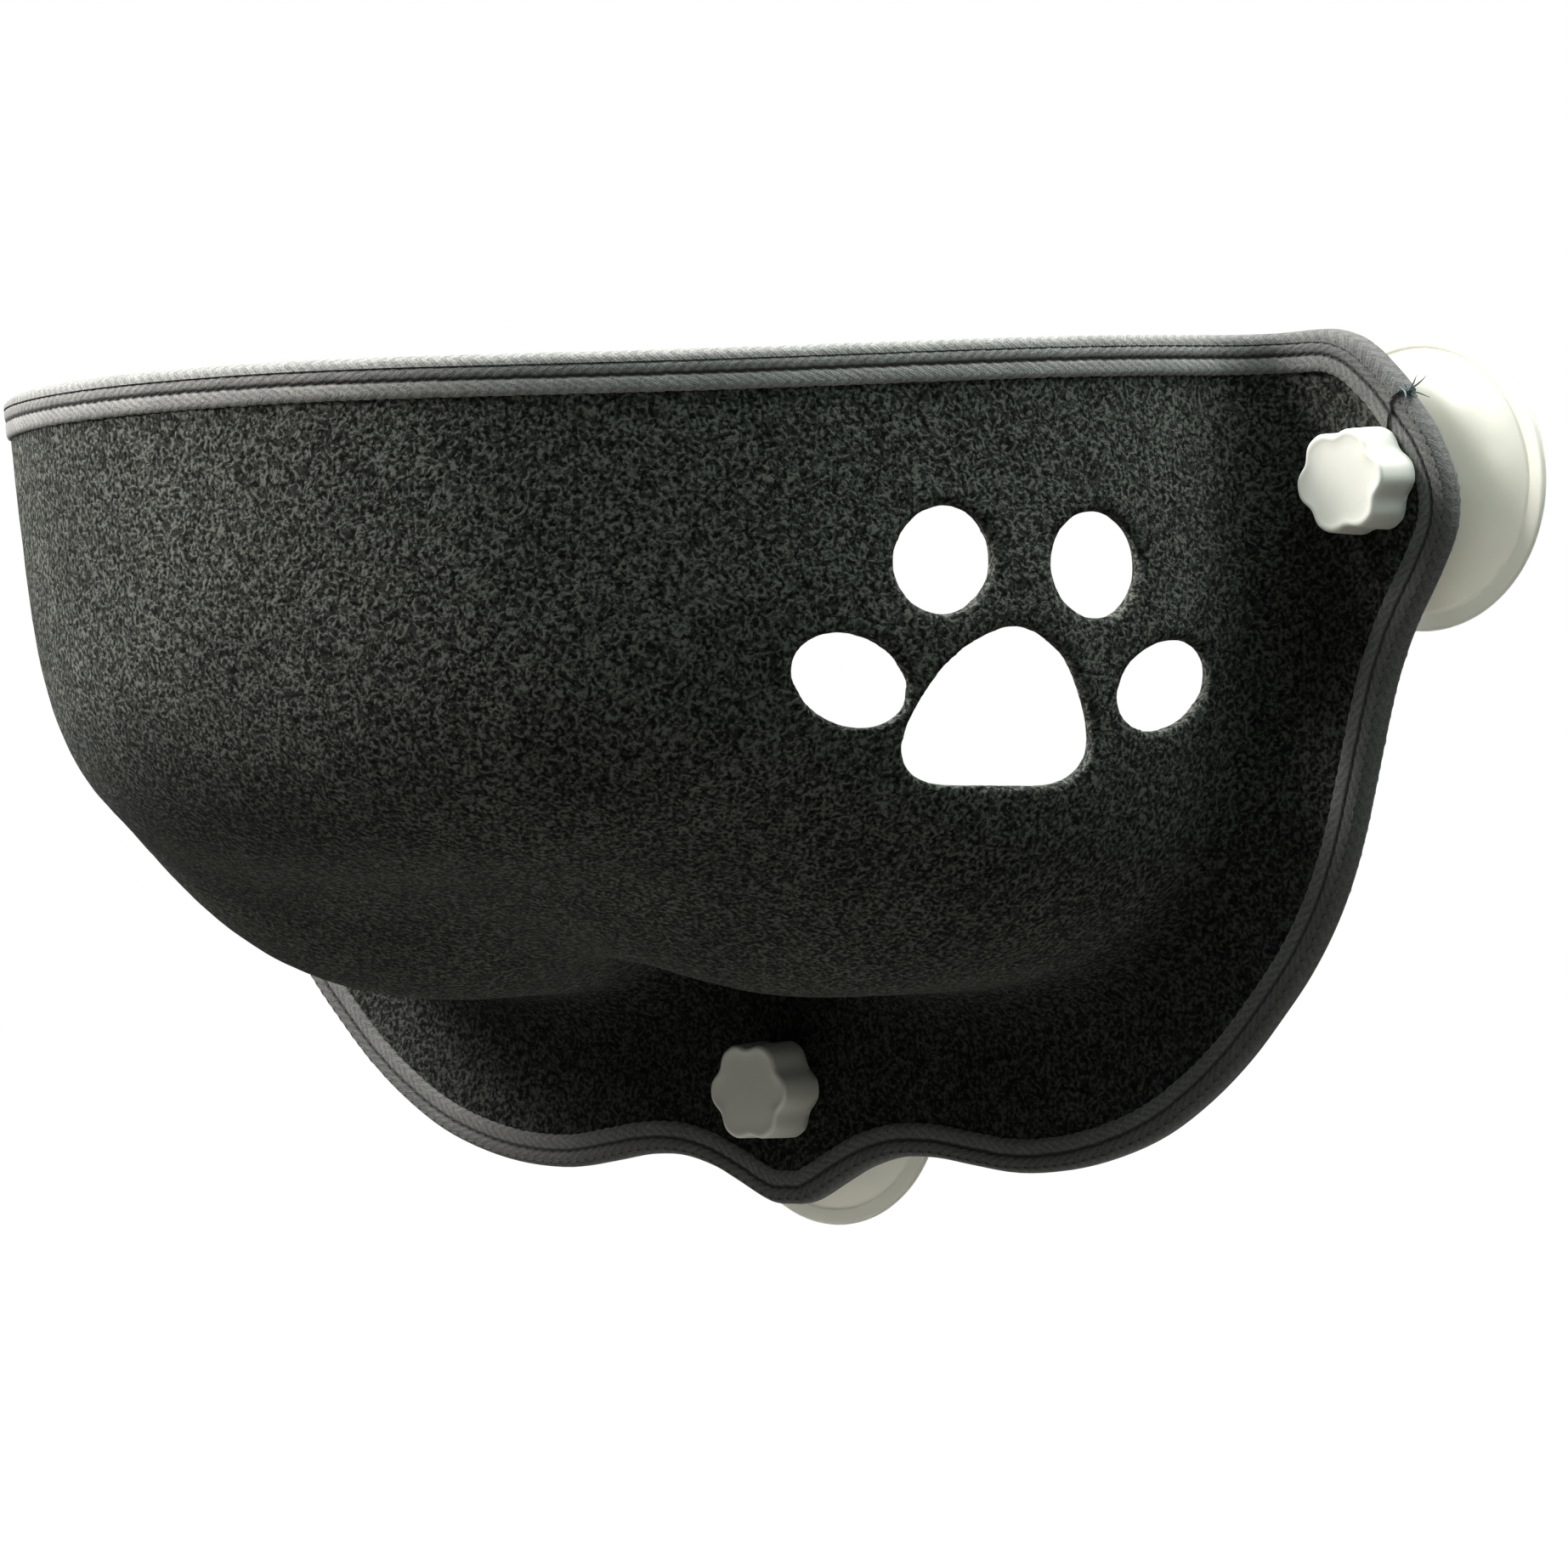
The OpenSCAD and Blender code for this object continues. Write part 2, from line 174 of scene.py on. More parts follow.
def deselect() -> None:
    """Leaves edit mode and deselects everything."""
    if bpy.context.object and bpy.context.object.mode != "OBJECT":
        bpy.ops.object.mode_set(mode="OBJECT")
    bpy.ops.object.select_all(action="DESELECT")


def activate(piece: Piece) -> None:
    """Makes one piece the only selected and the active one.

    Args:
        piece: The piece.
    """
    deselect()
    piece.select_set(True)
    bpy.context.view_layer.objects.active = piece


def mesh_piece(name: str, points: Iterable[Point], faces: Iterable[Face]) -> Piece:
    """Makes a mesh object at the origin from points in millimetres.

    Args:
        name: The piece's name.
        points: The corners, in millimetres.
        faces: Corner numbers of each face.

    Returns:
        The new object, linked to the scene.
    """
    mesh = bpy.data.meshes.new(name)
    mesh.from_pydata([tuple(c * MM for c in p) for p in points], [], list(faces))
    piece = bpy.data.objects.new(name, mesh)
    bpy.context.scene.collection.objects.link(piece)
    return piece


def apply_modifier(piece: Piece, kind: str, **settings: Any) -> None:
    """Adds a modifier with its settings and applies it.

    Args:
        piece: The piece that gets it.
        kind: The modifier's type.
        **settings: Properties of the modifier.
    """
    activate(piece)
    modifier = piece.modifiers.new(kind.title(), kind)
    for key, value in settings.items():
        setattr(modifier, key, value)
    bpy.ops.object.modifier_apply(modifier=modifier.name)


def mend_normals(piece: Piece, merge: float | None = 0.01) -> None:
    """Merges doubles and turns all faces outwards.

    Args:
        piece: The piece to mend.
        merge: Distance in millimetres under which corners merge, or None to merge nothing.
    """
    activate(piece)
    bpy.ops.object.mode_set(mode="EDIT")
    bpy.ops.mesh.select_all(action="SELECT")
    if merge is not None:
        bpy.ops.mesh.remove_doubles(threshold=merge * MM)
    bpy.ops.mesh.normals_make_consistent(inside=False)
    bpy.ops.object.mode_set(mode="OBJECT")


def dress(piece: Piece, material: Material, slot: str | None = None) -> None:
    """Gives a piece its material.

    Args:
        piece: A new piece or a CAD node.
        material: The finish.
        slot: Given for a new piece, whose materials are then replaced; its text is not used.
    """
    if slot:
        piece.data.materials.clear()
        piece.data.materials.append(material)
    else:
        for place in piece.material_slots:
            place.material = material


# Finishes


@dataclass(frozen=True)
class Finish:
    """A finish: its name, and the colour and roughness that its shader starts from."""

    name: str
    colour: str
    roughness: float = 0.5

    def begin(self) -> tuple[Material, Tree, Node, Socket]:
        """Makes the material with a plain shader.

        Returns:
            The material, its tree, its Principled shader and the socket with the place on the piece.
        """
        material = bpy.data.materials.new(self.name)
        material.use_nodes = True
        material.diffuse_color = linear(self.colour)
        tree = material.node_tree
        shader = tree.nodes["Principled BSDF"]
        fill(tree, shader, {"Base Color": linear(self.colour), "Roughness": self.roughness})
        return material, tree, shader, add_node(tree, Kind.PLACE).outputs["Object"]


@dataclass(frozen=True)
class NeedleFelt(Finish):
    """Needle-punched polyester felt, shaped in a hot mould under pressure.

    The fibres are 0.02 mm thick, too fine to show, so they are drawn as curled strands
    and specks 1 to 3 mm long, which is how they gather into tufts on the surface. The flange
    is darkened by painted shade, as if it lay in the shade behind the bowl.
    """

    dark: str = "#070806"
    light: str = "#5f615a"
    curl: float = 2.5
    curl_size: float = 7.0
    tuft: float = 1.5
    tuft_span: Pair = (0.36, 0.72)
    strand: float = 2.5
    strand_span: Pair = (0.5, 0.95)
    ground: float = 0.02
    haze: float = 0.34
    fleck: float = 1.2
    fleck_span: Span = (0.6, 0.78, 0.0, 0.7)
    cloud: float = 45.0
    cloud_span: Span = (0.3, 0.7, 0.82, 1.12)
    flange_shade: float = 0.42
    flange_shade_from: float = -60.0
    flange_shade_to: float = -34.0
    relief: float = 0.8
    relief_strength: float = 0.5
    shine: float = 0.02
    sheen: float = 0.02
    sheen_roughness: float = 0.6

    def fibres(self, tree: Tree, place: Socket) -> Node:
        """Draws curled strands, the tufts they gather in and a few bright flecks.

        Args:
            tree: The material's tree.
            place: The socket with the place on the piece.

        Returns:
            How light the felt is, from 0 to 1.
        """
        curl = (self.curl * MM,) * 3
        warp = add_node(tree, Kind.NOISE, {
            "Vector": place, "Scale": per_metre(self.curl_size), "Detail": 2.0})
        bend = add_node(tree, Kind.VECTOR, [warp.outputs["Color"], curl], operation="MULTIPLY")
        moved = add_node(tree, Kind.VECTOR, [place, bend], operation="ADD")
        tufts = add_node(tree, Kind.NOISE, {
            "Vector": moved, "Scale": per_metre(self.tuft), "Detail": 2.0, "Roughness": 0.45,
            "Distortion": 0.2})
        strands = add_node(tree, Kind.NOISE, {
            "Vector": moved, "Scale": per_metre(self.strand), "Detail": 3.0, "Roughness": 0.55,
            "Lacunarity": 2.2, "Offset": 0.9, "Gain": 1.4, "Distortion": 0.3},
            noise_type="RIDGED_MULTIFRACTAL", normalize=True)
        speck = add_node(tree, Kind.RANGE, [tufts, *self.tuft_span])
        line = add_node(tree, Kind.RANGE, [strands, *self.strand_span])
        both = add_node(tree, Kind.MATH, [speck, line, self.ground], operation="MULTIPLY_ADD")
        haze = add_node(tree, Kind.MATH, [speck, self.haze], operation="MULTIPLY")
        spots = add_node(tree, Kind.NOISE, {"Vector": moved, "Scale": per_metre(self.fleck), "Detail": 1.0})
        flecks = add_node(tree, Kind.RANGE, [spots, *self.fleck_span])
        tufted = add_node(tree, Kind.MATH, [both, haze], operation="ADD")
        return add_node(tree, Kind.MATH, [tufted, flecks], operation="ADD", use_clamp=True)

    def make(self) -> Material:
        """Builds the felt: its fibres, slow clouds, painted shade on the flange and a fine relief.

        Returns:
            The material.
        """
        material, tree, shader, place = self.begin()
        fibres = self.fibres(tree, place)
        cloud = add_node(tree, Kind.NOISE, {"Vector": place, "Scale": per_metre(self.cloud), "Detail": 2.0})
        slow = add_node(tree, Kind.RANGE, [cloud, *self.cloud_span])
        # Painted shade: the flange's felt, behind the bowl, is darkened to about 0.4 of its colour.
        depth = add_node(tree, Kind.SPLIT, [place]).outputs["Y"]
        ends = (self.flange_shade_from * MM, self.flange_shade_to * MM)
        flat = add_node(tree, Kind.RANGE, [depth, *ends, 1.0, self.flange_shade])
        light = add_node(tree, Kind.MATH, [slow, flat], operation="MULTIPLY")
        mixed = add_node(tree, Kind.MIX, [fibres, linear(self.dark), linear(self.light)], data_type="RGBA")
        colour = add_node(tree, Kind.VECTOR, [mixed, light], operation="SCALE")
        skin = add_node(tree, Kind.BUMP, {
            "Height": fibres, "Strength": self.relief_strength, "Distance": self.relief * MM})
        fill(tree, shader, {"Base Color": colour, "Normal": skin, "Specular IOR Level": self.shine,
                            "Sheen Weight": self.sheen, "Sheen Roughness": self.sheen_roughness})
        return material


@dataclass(frozen=True)
class HerringboneTape(Finish):
    """Woven polyester tape in a herringbone twill, drawn in by its two seams.

    Its UV map is in metres, along the tape and away from its sewn edge, so the twill follows
    every bend. The yarns, 0.4 mm thick, are too fine to show, so each stroke stands for a few.
    On the flange it is darkened by painted shade, so that the tape along the rim looks lit.
    """

    dark: str = "#3a3937"
    light: str = "#9b9a95"
    stroke: float = 4.1
    ribs: int = 3
    lean: float = 1.7
    row: float = 3.9
    first_row: float = 2.4
    wobble: float = 1.6
    wobble_size: float = 2.5
    ground: float = 0.28
    wave_share: float = 0.12
    rib_share: float = 0.1
    fuzz: float = 0.8
    fuzz_span: Pair = (0.3, 0.7)
    fuzz_share: float = 0.45
    seam: float = 5.4
    seam_half: float = 0.95
    seam_light: float = 0.22
    crease: float = 9.3
    crease_half: float = 0.6
    crease_light: float = 0.55
    core: float = 0.4
    band_half: float = 0.3
    band_light: Pair = (1.12, 0.88)
    wear: float = 14
    wear_span: Span = (0.3, 0.7, 0.85, 1.15)
    tape_shade: float = 0.42
    tape_shade_from: float = -30.0
    tape_shade_to: float = -60.0
    relief: float = 0.4
    relief_strength: float = 0.6
    shine: float = 0.2
    sheen: float = 0.1
    sheen_roughness: float = 0.5

    def groove(self, tree: Tree, across: Socket, at: float, half: float, light: float) -> Node:
        """A dark line along the tape, as the shade in a drawn-in groove.

        Args:
            tree: The material's tree.
            across: The socket with the distance from the sewn edge, in metres.
            at: The groove's distance from the sewn edge, in millimetres.
            half: Half of the line's width, in millimetres.
            light: How much light it keeps in its middle.

        Returns:
            The share of light.
        """
        off = add_node(tree, Kind.MATH, [across, at * MM], operation="SUBTRACT")
        away = add_node(tree, Kind.MATH, [off], operation="ABSOLUTE")
        return add_node(tree, Kind.RANGE, [away, self.core * half * MM, half * MM, light, 1.0])

    def twill(self, tree: Tree, place: Socket, along: Socket, across: Socket) -> Node:
        """Draws slanted strokes that turn back at each row, finer ribs on them, and fuzz.

        Args:
            tree: The material's tree.
            place: The socket with the place on the piece.
            along: The socket with the way along the tape, in metres.
            across: The socket with the distance from the sewn edge, in metres.

        Returns:
            How far the weave stands up, from 0 to 1.
        """
        loose = add_node(tree, Kind.NOISE, {
            "Vector": place, "Scale": per_metre(self.wobble_size), "Detail": 2.0})
        wobble = add_node(tree, Kind.MATH, [loose, self.wobble * MM], operation="MULTIPLY")
        shifted = add_node(tree, Kind.MATH, [across, self.first_row * MM], operation="ADD")
        zig = add_node(tree, Kind.MATH, [shifted, self.row * MM], operation="PINGPONG")
        leant = add_node(tree, Kind.MATH, [zig, self.lean, along], operation="MULTIPLY_ADD")
        slant = add_node(tree, Kind.MATH, [leant, wobble], operation="ADD")
        height: Any = self.ground
        for share, count in ((self.wave_share, 1), (self.rib_share, self.ribs)):
            rate = count * math.tau / (self.stroke * MM)
            turns = add_node(tree, Kind.MATH, [slant, rate], operation="MULTIPLY")
            wave = add_node(tree, Kind.MATH, [turns], operation="SINE")
            height = add_node(tree, Kind.MATH, [wave, share, height], operation="MULTIPLY_ADD")
        hairs = add_node(tree, Kind.NOISE, {
            "Vector": place, "Scale": per_metre(self.fuzz), "Detail": 3.0, "Roughness": 0.6})
        fuzz = add_node(tree, Kind.RANGE, [hairs, *self.fuzz_span])
        return add_node(tree, Kind.MATH, [fuzz, self.fuzz_share, height], operation="MULTIPLY_ADD")

    def make(self) -> Material:
        """Builds the tape: its twill, dark grooves, wear and painted shade on the flange.

        Returns:
            The material.
        """
        material, tree, shader, place = self.begin()
        split = add_node(tree, Kind.SPLIT, [add_node(tree, Kind.UV, uv_map="weave")])
        along, across = split.outputs["X"], split.outputs["Y"]
        height = self.twill(tree, place, along, across)
        edges = ((self.seam - self.band_half) * MM, (self.seam + self.band_half) * MM)
        rubbed = add_node(tree, Kind.NOISE, {
            "Vector": place, "Scale": per_metre(self.wear), "Detail": 4.0, "Roughness": 0.65})
        # Painted shade: the tape on the flange is darkened, so that the tape along the rim looks lit.
        depth = add_node(tree, Kind.SPLIT, [place]).outputs["Y"]
        shares = (
            self.groove(tree, across, self.seam, self.seam_half, self.seam_light),
            self.groove(tree, across, self.crease, self.crease_half, self.crease_light),
            add_node(tree, Kind.RANGE, [across, *edges, *self.band_light]),
            add_node(tree, Kind.RANGE, [rubbed, *self.wear_span]),
            add_node(tree, Kind.RANGE, [depth, self.tape_shade_from * MM, self.tape_shade_to * MM, self.tape_shade, 1.0]))
        light = shares[0]
        for share in shares[1:]:
            light = add_node(tree, Kind.MATH, [light, share], operation="MULTIPLY")
        mixed = add_node(tree, Kind.MIX, [height, linear(self.dark), linear(self.light)], data_type="RGBA")
        colour = add_node(tree, Kind.VECTOR, [mixed, light], operation="SCALE")
        skin = add_node(tree, Kind.BUMP, {
            "Height": height, "Strength": self.relief_strength, "Distance": self.relief * MM})
        fill(tree, shader, {"Base Color": colour, "Normal": skin, "Specular IOR Level": self.shine,
                            "Sheen Weight": self.sheen, "Sheen Roughness": self.sheen_roughness})
        return material


@dataclass(frozen=True)
class SewingThread(Finish):
    """Twisted polyester thread, duller than the tape."""

    twist: float = 0.5
    tones: Pair = (0.6, 1.5)

    def make(self) -> Material:
        """Builds the thread: a fine twist that changes its tone.

        Returns:
            The material.
        """
        material, tree, shader, place = self.begin()
        twist = add_node(tree, Kind.NOISE, {"Vector": place, "Scale": per_metre(self.twist), "Detail": 1.0})
        low, high = (toned(linear(self.colour), share) for share in self.tones)
        fill(tree, shader, {"Base Color": add_node(tree, Kind.MIX, [twist, low, high], data_type="RGBA")})
        return material


@dataclass(frozen=True)
class SoftVinyl(Finish):
    """Soft PVC of a suction cup, moulded glossy: milky, with faint flow marks of the mould."""

    flow: float = 28
    dull: float = 0.9
    gloss_span: Pair = (-0.06, 0.1)
    scatter: float = 0.4
    scatter_radius: Point = (0.9, 1.0, 0.98)
    scatter_depth: float = 4
    clear: float = 0.35
    ior: float = 1.53
    relief: float = 1.0
    relief_strength: float = 0.15

    def make(self) -> Material:
        """Builds the vinyl: light that scatters below the skin, and slow flow marks.

        Returns:
            The material.
        """
        material, tree, shader, place = self.begin()
        flow = add_node(tree, Kind.NOISE, {
            "Vector": place, "Scale": per_metre(self.flow), "Detail": 3.0, "Distortion": 1.4})
        base = linear(self.colour)
        low, high = (self.roughness + change for change in self.gloss_span)
        skin = add_node(tree, Kind.BUMP, {
            "Height": flow, "Strength": self.relief_strength, "Distance": self.relief * MM})
        fill(tree, shader, {
            "Base Color": add_node(tree, Kind.MIX, [flow, toned(base, self.dull), base], data_type="RGBA"),
            "Roughness": add_node(tree, Kind.RANGE, [flow, 0, 1, low, high]),
            "Normal": skin, "IOR": self.ior, "Transmission Weight": self.clear,
            "Subsurface Weight": self.scatter, "Subsurface Radius": self.scatter_radius,
            "Subsurface Scale": self.scatter_depth * MM})
        return material


@dataclass(frozen=True)
class MouldedPlastic(Finish):
    """Injection-moulded ABS or polyethylene, off-white: satin, with a fine sparked grain."""

    mark: float = 7
    dull: float = 0.93
    gloss_span: Pair = (-0.08, 0.1)
    pit: float = 0.35
    relief: float = 0.06
    relief_strength: float = 0.2
    ior: float = 1.5

    def make(self) -> Material:
        """Builds the plastic: grain in the relief and handling marks in the gloss.

        Returns:
            The material.
        """
        material, tree, shader, place = self.begin()
        marks = add_node(tree, Kind.NOISE, {
            "Vector": place, "Scale": per_metre(self.mark), "Detail": 4.0, "Roughness": 0.6})
        pits = add_node(tree, Kind.NOISE, {"Vector": place, "Scale": per_metre(self.pit), "Detail": 2.0})
        base = linear(self.colour)
        low, high = (self.roughness + change for change in self.gloss_span)
        skin = add_node(tree, Kind.BUMP, {
            "Height": pits, "Strength": self.relief_strength, "Distance": self.relief * MM})
        fill(tree, shader, {
            "Base Color": add_node(tree, Kind.MIX, [marks, toned(base, self.dull), base], data_type="RGBA"),
            "Roughness": add_node(tree, Kind.RANGE, [marks, 0, 1, low, high]),
            "Normal": skin, "IOR": self.ior})
        return material


@dataclass(frozen=True)
class ZincSteel(Finish):
    """Zinc-plated steel of a screw: a cool grey metal with a soft, slightly cloudy shine."""

    cloud: float = 3
    gloss_span: Pair = (-0.1, 0.12)

    def make(self) -> Material:
        """Builds the plating: clouds in its gloss.

        Returns:
            The material.
        """
        material, tree, shader, place = self.begin()
        clouds = add_node(tree, Kind.NOISE, {"Vector": place, "Scale": per_metre(self.cloud), "Detail": 3.0})
        low, high = (self.roughness + change for change in self.gloss_span)
        rough = add_node(tree, Kind.RANGE, [clouds, 0, 1, low, high])
        fill(tree, shader, {"Roughness": rough, "Metallic": 1.0})
        return material


FELT = NeedleFelt("moulded_needle_felt", "#2f302c", 0.9)
TAPE = HerringboneTape("herringbone_tape", "#4c4b48", 0.75)
THREAD = SewingThread("sewing_thread", "#1b1a17", 0.9)
# The frayed yarns' teal tint is painted light: the cool lamp's cast on the tape's grey yarn.
YARN = SewingThread("frayed_yarn", "#434f50", 0.85)
VINYL = SoftVinyl("milky_soft_vinyl", "#f2f0e4", 0.3)
KNOB_ABS = MouldedPlastic("off_white_abs", "#d4d3c8", 0.42)
WASHER_PE = MouldedPlastic("washer_polyethylene", "#d8d7cf", 0.55)
ZINC = ZincSteel("zinc_plated_steel", "#b9bab6", 0.34)


# The bowl's form


def smooth_step(u: float) -> float:
    """A smooth step from 0 to 1."""
    c = min(1.0, max(0.0, u))
    return c * c * (3 - 2 * c)


def through(p: Vector, q: Vector, r: Vector, s: Vector, t: float) -> Vector:
    """A point on the curve through four points, a share t of the way from the second to the third."""
    return (q * 2 + (r - p) * t + (p * 2 - q * 5 + r * 4 - s) * t * t + (q * 3 - p - r * 3 + s) * t ** 3) / 2


@dataclass
class BowlForm:
    """The mould's form: the same curves as in the part's source, in millimetres."""

    side: float = 208
    depth: float = 267
    height: float = 206
    felt: float = 7
    fold: float = 22
    lift: float = 32
    front_fall: float = 1
    side_dip: float = 2.5
    front_rise: float = 36
    rise_start: float = 70
    rise_end: float = 180
    groove_h: float = 24
    groove_w: float = 44
    groove_len: float = 190
    front: float = -26
    plan: float = 2.25
    wall: float = 4.8
    lean: float = 0.09
    edge_x: float = 281
    tab: float = 37.5
    leg: float = 11.5
    bury: float = 3
    lap: float = 3
    # The flange's edge from the tab's lowest point to the ear: shares of half its width and of its height.
    shares: tuple[Pair, ...] = (
        (0, 0), (0.031, 0.003), (0.082, 0.028), (0.119, 0.045), (0.17, 0.058), (0.228, 0.058),
        (0.288, 0.049), (0.352, 0.041), (0.423, 0.045), (0.493, 0.06), (0.562, 0.086), (0.627, 0.126),
        (0.683, 0.172), (0.73, 0.221), (0.77, 0.267), (0.805, 0.318), (0.833, 0.372), (0.855, 0.43),
        (0.873, 0.49), (0.89, 0.549), (0.909, 0.607), (0.935, 0.663), (0.969, 0.718), (0.994, 0.766),
        (1, 0.804), (0.994, 0.839), (0.975, 0.882), (0.95, 0.917), (0.922, 0.951), (0.887, 0.982),
        (0.852, 0.997))

    @property
    def rim(self) -> float:
        """Height of the rim at the flange."""
        return self.lift + self.height

    @property
    def back(self) -> float:
        """Plane of the flange's back face."""
        return self.front + self.felt

    def other(self, v: float) -> float:
        """The share of the fall that belongs to a share of the reach, and the reverse."""
        return max(0.0, 1 - v ** self.wall) ** (1 / self.wall)

    def floor(self, x: float, d: float) -> float:
        """Height of the underside.

        Args:
            x: Distance from the middle, in millimetres.
            d: Distance in front of the flange.

        Returns:
            The height over the lower cup's centre, in millimetres.
        """
        rise = self.front_rise * smooth_step((d - self.rise_start) / (self.rise_end - self.rise_start))
        groove = self.groove_h * (1 - smooth_step(d / self.groove_len)) * math.exp(-(x / self.groove_w) ** 2)
        return self.lift + rise + groove

    def rim_at(self, turn: float) -> float:
        """Height of the rim at an angle round the plan, in degrees."""
        a = math.radians(turn)
        return self.rim - self.front_fall * math.sin(a) ** 2 - self.side_dip * math.sin(2 * a) ** 2

    def out_dir(self, reach: float, fall: float) -> Vector:
        """Direction in which the fold runs out from the mouth's line.

        Args:
            reach: Share of the bowl's half width, from the middle.
            fall: Share of its height, from the rim.

        Returns:
            The direction outwards and downwards in the flange's plane.
        """
        outwards = max(0.0, reach) ** (self.wall - 1) / self.side
        downwards = max(0.0, fall) ** (self.wall - 1) / self.height
        way = Vector((outwards, downwards))
        return way.normalized() if way.length > 0 else way

    def run_out(self, d: float, t: float) -> float:
        """How far the fold has run out.

        Args:
            d: Distance in front of the flange, in millimetres.
            t: Depth in the felt: 0 for the outer skin.

        Returns:
            The distance from the wall's line, in millimetres.
        """
        if d >= self.fold:
            return 0.0
        size = self.fold + t
        return size - math.sqrt(max(0.0, size ** 2 - (self.fold - max(d, -t)) ** 2))

    def skin(self, col: Column, row: Pair | None, t: float) -> Vector:
        """A point of the bowl's skin.

        Args:
            col: Angle round the fold, angle round the plan, and the side, 1 or -1.
            row: Share of the reach and of the fall, or None for the tape's lower edge.
            t: Depth in the felt: 0 for the outer skin.

        Returns:
            The point, in millimetres.
        """
        turn, plan, side = col
        start = self.bury if t == 0 else t
        if plan > 0:
            full = (self.depth - t) * math.sin(math.radians(plan)) ** (2 / self.plan)
        elif turn > 0:
            full = self.fold - (self.fold + t) * math.cos(math.radians(turn))
        else:
            full = -start
        x_share = max(0.0, 1 - (max(0.0, full) / (self.depth - t)) ** self.plan) ** (1 / self.plan)
        top = self.rim_at(plan)
        drop = top - self.floor(self.side * x_share, full) - t
        fall = self.leg / drop if row is None else row[1]
        reach = self.other(fall) if row is None else row[0]
        d = (full + start) * reach * (1 - self.lean * fall * math.sin(math.radians(plan))) - start
        x = (self.side - t) * reach * x_share
        way = self.out_dir(x / (self.side - t), fall)
        out = self.run_out(d, t)
        z = top - (top - self.floor(x, d) - t) * fall - way[1] * out
        return Vector((side * (x + way[0] * out), self.front - d, z))

    def edge_right(self) -> list[Vector]:
        """Right half of the flange's edge, from the tab to the end of the fold, as X and Z."""
        keys = [Vector((self.edge_x * a, (self.rim + self.tab) * b - self.tab)) for a, b in self.shares]
        return keys + [Vector((self.side + self.fold, self.rim))]

    def edge(self, steps: int) -> list[Vector]:
        """The flange's edge from the left ear round the tab to the right, as X and Z.

        Args:
            steps: Points between two of the measured ones.

        Returns:
            The points along the edge.
        """
        half = self.edge_right()
        keys = [Vector((-p[0], p[1])) for p in half[:0:-1]] + half
        last = len(keys) - 1
        path = []
        for i in range(last):
            four = (keys[max(0, i - 1)], keys[i], keys[i + 1], keys[min(last, i + 2)])
            path += [through(*four, k / steps) for k in range(steps)]
        return path + [keys[last]]

    def mouth(self, rows: list[Pair]) -> list[Vector]:
        """The line in the flange where the bowl's fold ends.

        Args:
            rows: Shares of the reach and of the fall, from the rim to the middle of the floor.

        Returns:
            The points from the right end of the rim round the bottom to the left end, as X and Z.
        """
        out = self.fold - self.lap
        right = []
        for reach, fall in rows:
            x = self.side * reach
            way = self.out_dir(reach, fall)
            z = self.rim - (self.rim - self.floor(x, 0)) * fall - way[1] * out
            right.append(Vector((x + way[0] * out, z)))
        low = Vector((0.0, self.floor(0, 0) - self.fold + self.lap))
        return right + [low] + [Vector((-p[0], p[1])) for p in right[::-1]]


